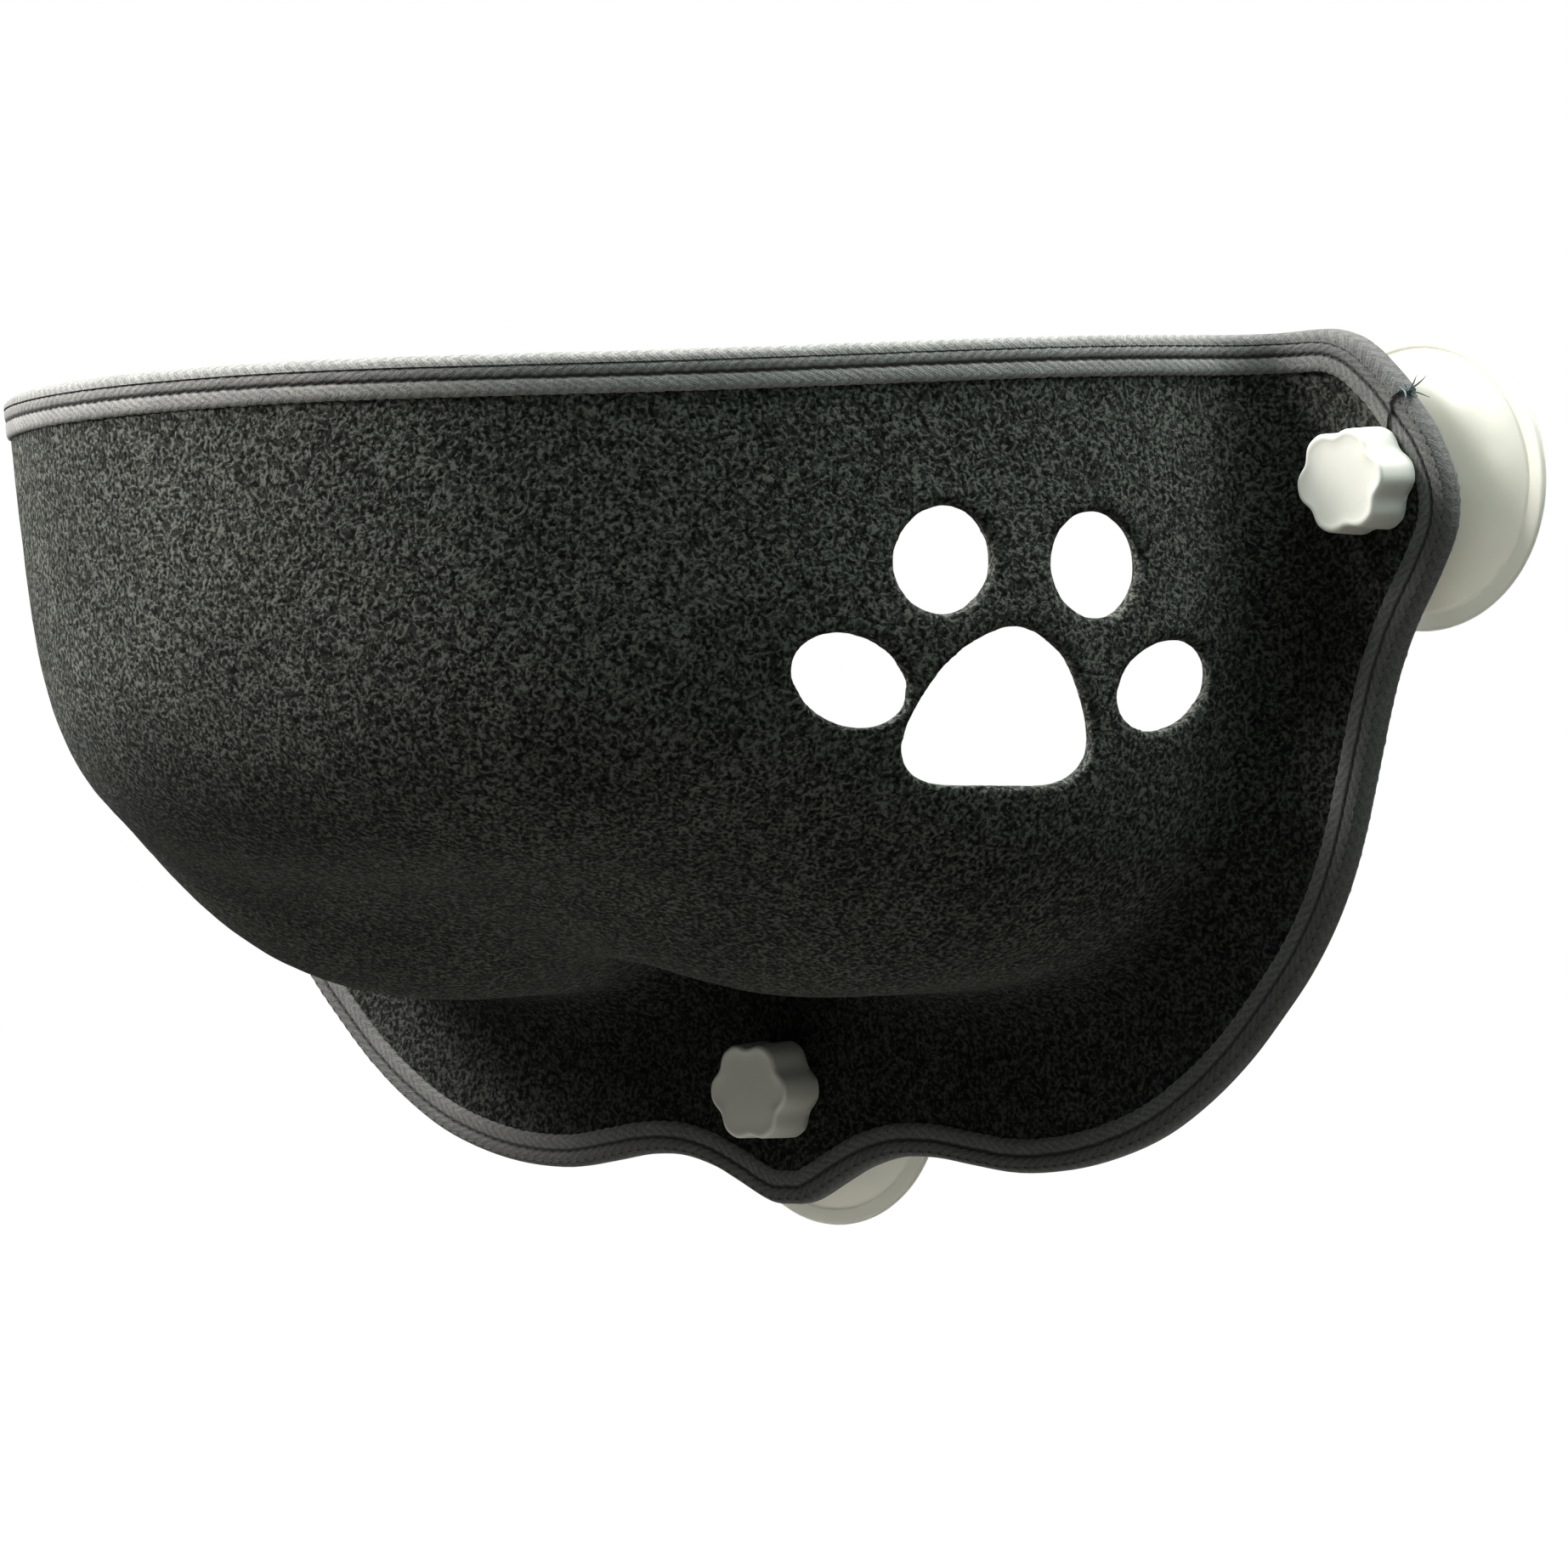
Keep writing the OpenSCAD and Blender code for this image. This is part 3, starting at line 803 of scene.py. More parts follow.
@dataclass
class FeltShell:
    """The moulded felt: bowl, fold, flange and the punched paw, as one smooth closed skin."""

    form: BowlForm
    turn_step: int = 6
    plan_step: int = 3
    wall_rows: int = 30
    wall_share: float = 0.8
    floor_rows: int = 44
    floor_from: float = 0.89
    floor_span: float = 0.87
    edge_steps: int = 3
    voxel: float = 1.9
    soften: float = 0.5
    soften_rounds: int = 6
    most_faces: int = 185000
    paw_turn: float = 20.5
    paw_drop: float = 97
    pad: Pair = (67, 49)
    pad_place: Pair = (0.07, 0.33)
    pad_steps: int = 6
    inner_toe: Pair = (35, 33)
    outer_toe: Pair = (27, 40)
    inner_place: Pair = (28, 28)
    outer_place: Pair = (57, -9)
    inner_tilt: float = 14
    outer_tilt: float = 70
    toe_sides: int = 48
    paw_tilt: float = 2.5
    punch_turn: float = 12
    # The pad's outline, as shares of its width and its height.
    pad_shares: tuple[Pair, ...] = (
        (-0.5, -0.3), (-0.44, 0.02), (-0.25, 0.33), (0.04, 0.5), (0.29, 0.36), (0.44, 0.06),
        (0.5, -0.28), (0.36, -0.47), (0, -0.5), (-0.36, -0.48))
    # Height and size of the waves in the felt's surface, from slow ones to a fine pucker.
    waves: tuple[Pair, ...] = ((0.35, 38), (0.16, 11), (0.07, 4.5))

    def columns(self) -> list[Column]:
        """Columns of the skin: angle round the fold, angle round the plan, and the side, 1 or -1.

        Returns:
            The columns, from the right fold round the front to the left fold.
        """
        right = [(a, 0.0, 1) for a in range(0, 91, self.turn_step)]
        right += [(90.0, a, 1) for a in range(self.plan_step, 90, self.plan_step)]
        return right + [(90.0, 90.0, 1)] + [(a, b, -1) for a, b, _ in right[::-1]]

    def rows(self) -> list[Pair]:
        """Rows of the skin: shares of the reach and of the fall.

        Returns:
            The rows, from the rim down the wall and across the floor.
        """
        wall, floor = range(self.wall_rows + 1), range(self.floor_rows + 1)
        falls = [self.wall_share * i / self.wall_rows for i in wall]
        reaches = [self.floor_from - self.floor_span * i / self.floor_rows for i in floor]
        return [(self.form.other(f), f) for f in falls] + [(r, self.form.other(r)) for r in reaches]

    def bowl(self) -> Piece:
        """Makes the closed bowl: outer skin, inner skin, rim, and the ends in the flange.

        Returns:
            The bowl.
        """
        form = self.form
        cols, rows = self.columns(), self.rows()
        wide, deep = len(cols), len(rows)
        pole = wide * deep
        inner = pole + 1
        points: list[Vector] = []
        for t in (0.0, form.felt):
            points += [form.skin(c, r, t) for r in rows for c in cols]
            points.append(Vector((0, form.front + (t or form.bury), form.floor(0, 0) - form.fold)))

        def at(col: int, row: int) -> int:
            """Number of a corner of the outer skin."""
            return row * wide + col

        skins: list[Face] = []
        for r in range(deep - 1):
            skins += [(at(c, r), at(c, r + 1), at(c + 1, r + 1), at(c + 1, r)) for c in range(wide - 1)]
        skins += [(at(c, deep - 1), pole, at(c + 1, deep - 1)) for c in range(wide - 1)]
        faces = skins + [tuple(i + inner for i in f[::-1]) for f in skins]
        faces += [(at(c, 0), at(c + 1, 0), inner + at(c + 1, 0), inner + at(c, 0)) for c in range(wide - 1)]
        for c in (0, wide - 1):
            edge = [at(c, r) for r in range(deep)]
            faces += [(low, high, inner + high, inner + low) for high, low in zip(edge, edge[1:])]
            faces.append((pole, edge[-1], inner + edge[-1], inner + pole))
        piece = mesh_piece("felt_shell", points, faces)
        mend_normals(piece)
        return piece

    def flange(self) -> Piece:
        """Makes the flange: its outline, less the bowl's mouth, drawn out to the felt's thickness.

        Returns:
            The flange.
        """
        outline = self.form.edge(self.edge_steps) + self.form.mouth(self.rows())
        loop = [(p[0], self.form.front, p[1]) for p in outline]
        return self.slab("flange", loop, Vector((0, self.form.felt, 0)))

    def slab(self, name: str, loop: list[Point], along: Vector) -> Piece:
        """Draws a flat outline out into a solid.

        Args:
            name: The piece's name.
            loop: The outline, in millimetres.
            along: The way and the length that it is drawn out, in millimetres.

        Returns:
            The closed solid.
        """
        deselect()
        bpy.ops.mesh.primitive_circle_add(vertices=len(loop), fill_type="NGON")
        piece = bpy.context.object
        piece.name = name
        for vertex, point in zip(piece.data.vertices, loop):
            vertex.co = Vector(point) * MM
        bpy.ops.object.mode_set(mode="EDIT")
        bpy.ops.mesh.select_all(action="SELECT")
        bpy.ops.mesh.extrude_region_move(TRANSFORM_OT_translate={"value": along * MM})
        bpy.ops.object.mode_set(mode="OBJECT")
        mend_normals(piece)
        return piece

    def paw_outlines(self) -> list[list[Pair]]:
        """The outlines of the paw on the punch's face: the pad, then two toes on each side.

        Returns:
            The five outlines, in millimetres.
        """
        wide, high = self.pad
        keys = [Vector((wide * a, high * b)) for a, b in self.pad_shares]
        count = len(keys)
        shift = Vector((-wide * self.pad_place[0], -high * self.pad_place[1]))
        pad = []
        for i in range(count):
            four = (keys[i - 1], keys[i], keys[(i + 1) % count], keys[(i + 2) % count])
            pad += [tuple(through(*four, k / self.pad_steps) + shift) for k in range(self.pad_steps)]
        outlines = [pad]
        toes = ((self.inner_toe, self.inner_place, self.inner_tilt),
                (self.outer_toe, self.outer_place, self.outer_tilt))
        angles = [i * math.tau / self.toe_sides for i in range(self.toe_sides)]
        for side in (-1, 1):
            for (toe_w, toe_l), (x, z), tilt in toes:
                turn = Matrix.Rotation(math.radians(-side * tilt), 2)
                ring = [Vector((toe_w / 2 * math.cos(a), toe_l / 2 * math.sin(a))) for a in angles]
                outlines.append([tuple(turn @ p + Vector((side * x, z))) for p in ring])
        return outlines

    def punch(self, bowl: Piece) -> None:
        """Punches the paw through the right wall.

        Args:
            bowl: The closed bowl.
        """
        form = self.form
        share = math.sin(math.radians(self.paw_turn)) ** (2 / form.plan)
        x_share = math.cos(math.radians(self.paw_turn)) ** (2 / form.plan)
        ahead, aside = share ** (form.plan - 1) / form.depth, x_share ** (form.plan - 1) / form.side
        yaw = math.radians(90 - math.degrees(math.atan2(ahead, aside)) - self.punch_turn)
        middle = Vector((form.side * x_share, form.front - form.depth * share, form.rim - self.paw_drop))
        right = Vector((math.cos(yaw), math.sin(yaw), 0))
        forward = Vector((math.sin(yaw), -math.cos(yaw), 0))
        tilt = Matrix.Rotation(math.radians(-self.paw_tilt), 2)
        reach = 2 * (form.fold + form.felt)
        for i, outline in enumerate(self.paw_outlines()):
            flat = [tilt @ Vector(p) for p in outline]
            loop = [middle + right * p[0] + Vector((0, 0, p[1])) - forward * reach for p in flat]
            cutter = self.slab(f"punch_{i}", loop, forward * 2 * reach)
            apply_modifier(bowl, "BOOLEAN", object=cutter, operation="DIFFERENCE", solver="EXACT")
            bpy.data.objects.remove(cutter)

    def build(self) -> Piece:
        """Joins bowl and flange into one skin, as the mould presses one sheet, and softens it.

        Returns:
            The felt shell.
        """
        bowl = self.bowl()
        self.punch(bowl)
        flange = self.flange()
        activate(flange)
        bowl.select_set(True)
        bpy.context.view_layer.objects.active = bowl
        bpy.ops.object.join()
        apply_modifier(bowl, "REMESH", mode="VOXEL", voxel_size=self.voxel * MM)
        apply_modifier(bowl, "SMOOTH", factor=self.soften, iterations=self.soften_rounds)
        faces = 2 * len(bowl.data.polygons)
        if faces > self.most_faces:
            apply_modifier(bowl, "DECIMATE", ratio=self.most_faces / faces)
        self.relief(bowl)
        activate(bowl)
        bpy.ops.object.shade_smooth()
        return bowl

    def relief(self, shell: Piece) -> None:
        """Lets the surface wander a little, as moulded felt does.

        Args:
            shell: The felt shell.
        """
        places = [v.co.copy() for v in shell.data.vertices]
        normals = [v.normal.copy() for v in shell.data.vertices]
        moved: list[float] = []
        for p, n in zip(places, normals):
            wave = sum(height * noise.noise(p / (size * MM)) for height, size in self.waves)
            moved.extend(p + n * wave * MM)
        shell.data.vertices.foreach_set("co", moved)
        shell.data.update()


# The sewn tape


@dataclass
class Station:
    """One cross-section of the tape: the felt's two corners, and the ways across and out of it."""

    face: Vector
    back: Vector
    low_face: Vector
    low_back: Vector
    across: Vector
    out: Vector


@dataclass
class EdgeTape:
    """The binding: one loop of tape folded round the whole edge of the felt, with its seams.

    Its cut end laps over its start at the right ear and is frayed there.
    """

    form: BowlForm
    shell: FeltShell
    thick: float = 1.25
    flange_leg: float = 10.0
    edge_steps: int = 4
    pitch: float = 4.1
    stitch: float = 2.2
    # Place along a stitch, height over the seam and radius of the thread there.
    stitch_form: tuple[Point, ...] = (
        (0, -0.35, 0.12), (0.2, 0, 0.32), (0.5, 0.14, 0.36), (0.8, 0, 0.32), (1, -0.35, 0.12))
    thread_rise: float = 0.05
    seam: float = 5.4
    crease: float = 9.3
    puff: float = 0.22
    seam_depth: float = 0.6
    crease_depth: float = 0.4
    groove_width: float = 0.5
    edge_thin: float = 0.5
    edge_width: float = 0.5
    bend: float = 2.2
    bend_step: int = 15
    sunk: float = 0.35
    sunk_more: float = 4
    smooth_to: float = 50
    fray: float = 0.2
    zigzag: float = 0.7
    wander: float = 1.2
    wander_step: float = 0.37
    lap_cut: Pair = (264.5, 218)
    lap_length: float = 62
    lap_lift: float = 1.15
    lap_fall: float = 1.5
    lap_sink: float = 0.06
    askew: float = 7.0
    cut_wander: float = 0.9
    cut_size: float = 1.3
    seed: int = 11
    yarn: float = 0.36
    yarn_count: int = 14
    yarn_place: Pair = (-0.15, 0.4)
    yarn_rise: Pair = (-1.2, 0.9)
    yarn_out: Pair = (0.5, 1.2)
    yarn_back: Pair = (0.4, 1.0)
    yarn_side: Pair = (-0.4, 0.4)
    yarn_bow: Pair = (-0.8, 0.8)
    yarn_length: Pair = (2.5, 5.8)
    # Place along a yarn and its share of the full radius there.
    yarn_form: tuple[Pair, ...] = ((0.0, 1.0), (0.25, 1.0), (0.5, 0.9), (0.75, 0.7), (1.0, 0.3))
    places: tuple[float, ...] = (
        0, 0.35, 1.0, 2.0, 3.2, 4.3, 4.8, 5.15, 5.4, 5.65, 6.0, 6.6, 7.5, 8.4, 8.9, 9.3, 9.7)

    def stations(self) -> list[Station]:
        """Cross-sections round the whole edge.

        Returns:
            The stations from the left ear round the tab to the right ear, and back along the rim.
        """
        form, found = self.form, []
        path = form.edge(self.edge_steps)
        front, back = Vector((0, form.front, 0)), Vector((0, form.back, 0))
        for i, p in enumerate(path):
            along = path[min(len(path) - 1, i + 1)] - path[max(0, i - 1)]
            n = Vector((along[1], 0, -along[0])).normalized()
            e = Vector((p[0], 0, p[1]))
            grown = smooth_step(1 - (form.rim - p[1]) / (2 * form.fold))
            low = e - n * (self.flange_leg + (form.leg - self.flange_leg) * grown)
            found.append(Station(e + front, e + back, low + front, low + back, Vector((0, -1, 0)), n))
        for col in self.shell.columns()[1:-1]:
            outer, inner = (form.skin(col, (1.0, 0.0), t) for t in (0, form.felt))
            low_outer, low_inner = (form.skin(col, None, t) for t in (0, form.felt))
            across = (outer - inner).normalized()
            found.append(Station(outer, inner, low_outer, low_inner, across, Vector((0, 0, 1))))
        return self.even(found)

    def even(self, raw: list[Station]) -> list[Station]:
        """Sets the stations half a stitch apart along the loop and lets the sewn edge wander.

        Args:
            raw: Stations round the loop.

        Returns:
            The even stations; the last is one step before the first.
        """
        ring = raw + raw[:1]
        mids = [(s.face + s.back) / 2 for s in ring]
        runs = [0.0]
        for a, b in zip(mids, mids[1:]):
            runs.append(runs[-1] + (b - a).length)
        count = 2 * round(runs[-1] / self.pitch)
        names = ("face", "back", "low_face", "low_back", "across", "out")
        found, j = [], 0
        for k in range(count):
            want = runs[-1] * k / count
            while runs[j + 1] < want:
                j += 1
            t = (want - runs[j]) / max(NEAR_ZERO, runs[j + 1] - runs[j])
            s = Station(*(getattr(ring[j], f).lerp(getattr(ring[j + 1], f), t) for f in names))
            s.across.normalize()
            s.out.normalize()
            loose = self.wander * noise.noise(Vector((k * self.wander_step, 0, 0)))
            pulled = self.fray * ((self.zigzag if k % 2 else -self.zigzag) + loose)
            share = pulled / (s.face - s.low_face).length
            s.low_face = s.low_face.lerp(s.face, share)
            s.low_back = s.low_back.lerp(s.back, share)
            found.append(s)
        return found

    def rise(self, v: float) -> float:
        """Height of the tape's outside over the felt.

        Args:
            v: Distance from the tape's sewn edge, in millimetres.

        Returns:
            The height, in millimetres.
        """
        if v < self.seam:
            puff = math.sin(math.pi * v / self.seam)
        else:
            puff = abs(math.sin(math.pi * (v - self.seam) / (self.crease - self.seam)))
        seam = self.seam_depth * math.exp(-((v - self.seam) / self.groove_width) ** 2)
        crease = self.crease_depth * math.exp(-((v - self.crease) / self.groove_width) ** 2)
        edge = self.edge_thin * math.exp(-(v / self.edge_width) ** 2)
        return self.thick * (1 - edge) + self.puff * puff - seam - crease

    def section(self, s: Station, lift: float = 0.0) -> list[tuple[Vector, float]]:
        """The tape's outside and inside round one cross-section.

        Args:
            s: The station.
            lift: How much further out the layer lies, in millimetres.

        Returns:
            Points round the section, each with its distance from the nearer sewn edge.
        """
        leg = (s.face - s.low_face).length
        top = self.thick + lift
        crest = leg + self.bend * math.pi / 2 + (s.face - s.back).length / 3
        corner = []
        for a in [math.radians(turn) for turn in range(0, 91, self.bend_step)]:
            way = s.across * (top * math.cos(a) - self.bend * (1 - math.cos(a)))
            rise = s.out * (top * math.sin(a) - self.bend * (1 - math.sin(a)))
            corner.append((way, rise, leg + self.bend * a))
        outer = []
        for v in self.places:
            outer.append((s.low_face.lerp(s.face, v / leg) + s.across * (self.rise(v) + lift), v))
        outer += [(s.face + way + rise, v) for way, rise, v in corner]
        outer += [(s.face.lerp(s.back, share) + s.out * top, crest) for share in (1 / 3, 2 / 3)]
        outer += [(s.back - way + rise, v) for way, rise, v in corner[::-1]]
        for v in self.places[::-1]:
            outer.append((s.low_back.lerp(s.back, v / leg) - s.across * (self.rise(v) + lift), v))
        dip = s.across * self.sunk
        sink = s.out * self.sunk * self.sunk_more
        behind = [(s.low_back + dip, 0.0), (s.back + dip - sink, leg)]
        before = [(s.face - dip - sink, leg), (s.low_face - dip, 0.0)]
        return outer + behind + before

    def sweep(self, name: str, stations: list[Station], lifts: list[float] | None = None) -> Piece:
        """Sweeps the section along stations, with a UV map in metres.

        Args:
            name: The piece's name.
            stations: Where the sections stand.
            lifts: How much further out each section lies; without them the tape is one closed loop.

        Returns:
            The swept tape.
        """
        closed = lifts is None
        rings = [self.section(s, 0.0 if closed else lifts[i]) for i, s in enumerate(stations)]
        n, m = len(rings), len(rings[0])
        spans = range(n if closed else n - 1)
        faces: list[Face] = []
        for i in spans:
            low, high = i * m, (i + 1) % n * m
            faces += [(low + k, low + (k + 1) % m, high + (k + 1) % m, high + k) for k in range(m)]
        if not closed:
            faces += [tuple(range(m))[::-1], tuple((n - 1) * m + k for k in range(m))]
        piece = mesh_piece(name, [p for ring in rings for p, _ in ring], faces)
        runs = [0.0]
        for i in range(n):
            runs.append(runs[-1] + (stations[(i + 1) % n].face - stations[i].face).length)
        layer = piece.data.uv_layers.new(name="weave")
        widths = [w for _, w in rings[0]]
        for face in piece.data.polygons[:len(spans) * m]:
            i = face.index // m
            for corner in face.loop_indices:
                station, place = divmod(piece.data.loops[corner].vertex_index, m)
                run = runs[i] if station == i else runs[i + 1]
                layer.data[corner].uv = (run * MM, widths[place] * MM)
        mend_normals(piece, None)
        bpy.ops.object.shade_smooth_by_angle(angle=math.radians(self.smooth_to))
        return piece

    def build(self) -> list[Piece]:
        """Makes the tape, its lapped end, its seams and the yarns that fray from the cut.

        Returns:
            The tape, the lap, the stitches and the yarns.
        """
        stations = self.stations()
        n = len(stations)
        cut = Vector((self.lap_cut[0], self.form.front, self.lap_cut[1]))
        first = min(range(n), key=lambda i: (stations[i].face - cut).length)
        count = 2 * round(self.lap_length / self.pitch)
        lifts = []
        for k in range(count):
            gone = smooth_step(self.lap_fall * k / count - (self.lap_fall - 1))
            lifts.append(self.lap_lift * (1 - gone) - self.lap_sink)
        lapped = [stations[(first + k) % n] for k in range(count)]
        raised = [0.0] * n
        for k, lift in enumerate(lifts):
            raised[(first + k) % n] = max(0.0, lift)
        lap = self.sweep("tape_lap", lapped, lifts)
        self.fray_cut(lap, lapped)
        tape = self.sweep("binding_tape", stations)
        return [tape, lap, self.stitches(stations, raised), self.yarns(lapped)]

    def fray_cut(self, lap: Piece, stations: list[Station]) -> None:
        """Cuts the lap's end askew and lets it wander, as scissors leave a loose weave.

        Args:
            lap: The lapped end of the tape.
            stations: The lap's stations, from the cut on.
        """
        along = (stations[1].face - stations[0].face).normalized()
        ring = self.section(stations[0])
        reach = ring[len(self.places) - 1][1]
        for vertex, (_, v) in zip(lap.data.vertices, ring):
            wander = self.cut_wander * noise.noise(vertex.co / (self.cut_size * MM))
            vertex.co += along * (wander - self.askew * max(0.0, 1 - v / reach)) * MM

    def yarns(self, stations: list[Station]) -> Piece:
        """Lets short yarns stand out from the outer end of the cut.

        Args:
            stations: The lap's stations, from the cut on.

        Returns:
            All yarns as one piece.
        """
        draw = random.Random(self.seed)
        s = stations[0]
        points: list[Vector] = []
        faces: list[Face] = []
        along = (stations[1].face - s.face).normalized()
        for _ in range(self.yarn_count):
            start = s.face.lerp(s.back, draw.uniform(*self.yarn_place))
            start += s.out * (self.lap_lift + draw.uniform(*self.yarn_rise))
            way = s.out * draw.uniform(*self.yarn_out) - along * draw.uniform(*self.yarn_back)
            way -= s.across * draw.uniform(*self.yarn_side)
            way.normalize()
            bow = Vector([draw.uniform(*self.yarn_bow) for _ in range(3)])
            length = draw.uniform(*self.yarn_length)
            line = [start + way * length * t + bow * length * t * t for t, _ in self.yarn_form]
            tube(line, [self.yarn * share for _, share in self.yarn_form], s.across, points, faces)
        return self.finish_threads("frayed_yarns", points, faces)

    def stitches(self, stations: list[Station], raised: list[float]) -> Piece:
        """Lays the seams: short thread pieces in both grooves in front and in one behind.

        Args:
            stations: Where the tape's sections stand.
            raised: How much the lap raises the seam at each.

        Returns:
            All stitches as one piece.
        """
        n = len(stations)
        count = n // 2
        points: list[Vector] = []
        faces: list[Face] = []
        for row, sign, v in (("face", 1.0, self.seam), ("face", 1.0, self.crease), ("back", -1.0, self.seam)):
            line = []
            for s, lift in zip(stations, raised):
                low, high = getattr(s, f"low_{row}"), getattr(s, row)
                up = s.across * sign
                height = self.rise(v) + self.thread_rise + lift
                line.append((low.lerp(high, v / (high - low).length) + up * height, up))
            for k in range(count):
                start, up = self.along(line, k * n / count)
                end, _ = self.along(line, (k + self.stitch / self.pitch) * n / count)
                path = [start.lerp(end, t) + up * height for t, height, _ in self.stitch_form]
                tube(path, [radius for _, _, radius in self.stitch_form], up, points, faces)
        return self.finish_threads("tape_stitches", points, faces)

    @staticmethod
    def finish_threads(name: str, points: list[Vector], faces: list[Face]) -> Piece:
        """Makes one smooth piece from many threads.

        Args:
            name: The piece's name.
            points: The corners of all threads, in millimetres.
            faces: Corner numbers of each face.

        Returns:
            The piece.
        """
        piece = mesh_piece(name, points, faces)
        mend_normals(piece, merge=0.001)
        activate(piece)
        bpy.ops.object.shade_smooth()
        return piece

    @staticmethod
    def along(line: list[tuple[Vector, Vector]], where: float) -> tuple[Vector, Vector]:
        """A place on a closed line of points and directions.

        Args:
            line: A point and a direction at each station.
            where: A station number with a fraction.

        Returns:
            The point and the direction there.
        """
        i = int(where) % len(line)
        j = (i + 1) % len(line)
        t = where - int(where)
        return line[i][0].lerp(line[j][0], t), line[i][1].lerp(line[j][1], t).normalized()


def tube(
    line: list[Vector], radii: list[float], up: Vector,
    points: list[Vector], faces: list[Face], sides: int = 6
) -> None:
    """Adds a closed thread along a short line.

    Args:
        line: Its middle line, in millimetres.
        radii: Its radius at each point.
        up: A way that isn't along the line.
        points: Corners so far; the thread's are added.
        faces: Faces so far; the thread's are added.
        sides: Corners round the thread.
    """
    base, last = len(points), len(line) - 1
    way = (line[-1] - line[0]).normalized()
    side = way.cross(up).normalized()
    rise = side.cross(way)
    for middle, radius in zip(line, radii):
        for k in range(sides):
            a = k * math.tau / sides
            points.append(middle + (side * math.cos(a) + rise * math.sin(a)) * radius)
    for r in range(last):
        low, high = base + r * sides, base + (r + 1) * sides
        for k in range(sides):
            after = (k + 1) % sides
            faces.append((low + k, low + after, high + after, high + k))
    faces.append(tuple(base + k for k in range(sides))[::-1])
    faces.append(tuple(base + last * sides + k for k in range(sides)))


# Cups, screws and knobs


class Place(Enum):
    """The three places where a cup, a screw, a washer and a knob stand."""

    RIGHT = "right"
    LEFT = "left"
    LOWER = "lower"

    def middle(self) -> Vector:
        """The middle of this place's cup on the glass, in metres, from the CAD node's box."""
        low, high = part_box(f"{self.value}_suction_cup")
        return Vector(((low[0] + high[0]) / 2, 0, (low[2] + high[2]) / 2))


def turned(name: str, rings: list[Pair], shape: Shape | None = None, sides: int = 128) -> Piece:
    """Turns a piece on the axis that points into the room: a ring is drawn out again and again.

    Args:
        name: The piece's name.
        rings: Radius and height from the glass of each ring, in millimetres. A radius of 0 ends in a point.
        shape: Gives the radius from the ring's radius, its height and the angle, where the piece isn't round.
        sides: Corners of a ring.

    Returns:
        The closed piece at the origin.
    """
    deselect()
    upright = (math.pi / 2, 0, 0)
    bpy.ops.mesh.primitive_circle_add(vertices=sides, radius=1.0, fill_type="NOTHING", rotation=upright)
    piece = bpy.context.object
    piece.name = name
    bpy.ops.object.transform_apply(location=False, rotation=True, scale=False)
    bpy.ops.object.mode_set(mode="EDIT")
    bpy.ops.mesh.select_all(action="SELECT")
    for i, (radius, height) in enumerate(rings):
        if i:
            bpy.ops.mesh.extrude_region_move(TRANSFORM_OT_translate={"value": (0, 0, 0)})
        form = bmesh.from_edit_mesh(piece.data)
        for vertex in form.verts:
            if vertex.select:
                angle = math.atan2(vertex.co.z, vertex.co.x)
                r = max(radius if shape is None else shape(radius, height, angle), POINT_RADIUS)
                vertex.co = Vector((r * math.cos(angle), -height, r * math.sin(angle))) * MM
        bmesh.update_edit_mesh(piece.data)
    bpy.ops.object.mode_set(mode="OBJECT")
    mend_normals(piece, merge=0.005)
    return piece


def arc(radius: float, height: float, round_r: float, round_h: float, angles: Iterable[float]) -> list[Pair]:
    """Points of a rounded corner of a half section.

    Args:
        radius: Radius of its middle, in millimetres.
        height: Height of its middle.
        round_r: Its own radius outwards.
        round_h: Its own radius upwards.
        angles: Angles of the points in degrees, 0 outwards and 90 upwards.

    Returns:
        Radius and height of each point.
    """
    turns = [math.radians(a) for a in angles]
    return [(radius + round_r * math.cos(a), height + round_h * math.sin(a)) for a in turns]


@dataclass(frozen=True)
class Fitting:
    """A piece that stands at all three places: its masters' turns and what its copies stand for."""

    noun: str
    node: str
    body: str
    slot: str
    turns: Point
    crease: float = 45.0

    def stand(self, master: Piece, material: Material) -> list[Piece]:
        """Puts a copy of the master, with its own mesh, at each place in its CAD node's stead.

        Args:
            master: The piece modelled at the origin; it goes when the copies are made.
            material: The finish.

        Returns:
            The copies.
        """
        activate(master)
        bpy.ops.object.shade_smooth_by_angle(angle=math.radians(self.crease))
        made = []
        for place, turn in zip(Place, self.turns):
            copy = master.copy()
            copy.data = master.data.copy()
            copy.name = copy.data.name = f"{place.value}_{self.noun}"
            bpy.context.scene.collection.objects.link(copy)
            turning = Matrix.Rotation(math.radians(-turn), 4, "Y")
            copy.data.transform(Matrix.Translation(place.middle()) @ turning)
            dress(copy, material, self.slot)
            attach(copy, f"{place.value}_{self.body}")
            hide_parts(f"{place.value}_{self.node}")
            LOG.info("%s: %d faces", copy.name, len(copy.data.polygons))
            made.append(copy)
        bpy.data.objects.remove(master)
        return made


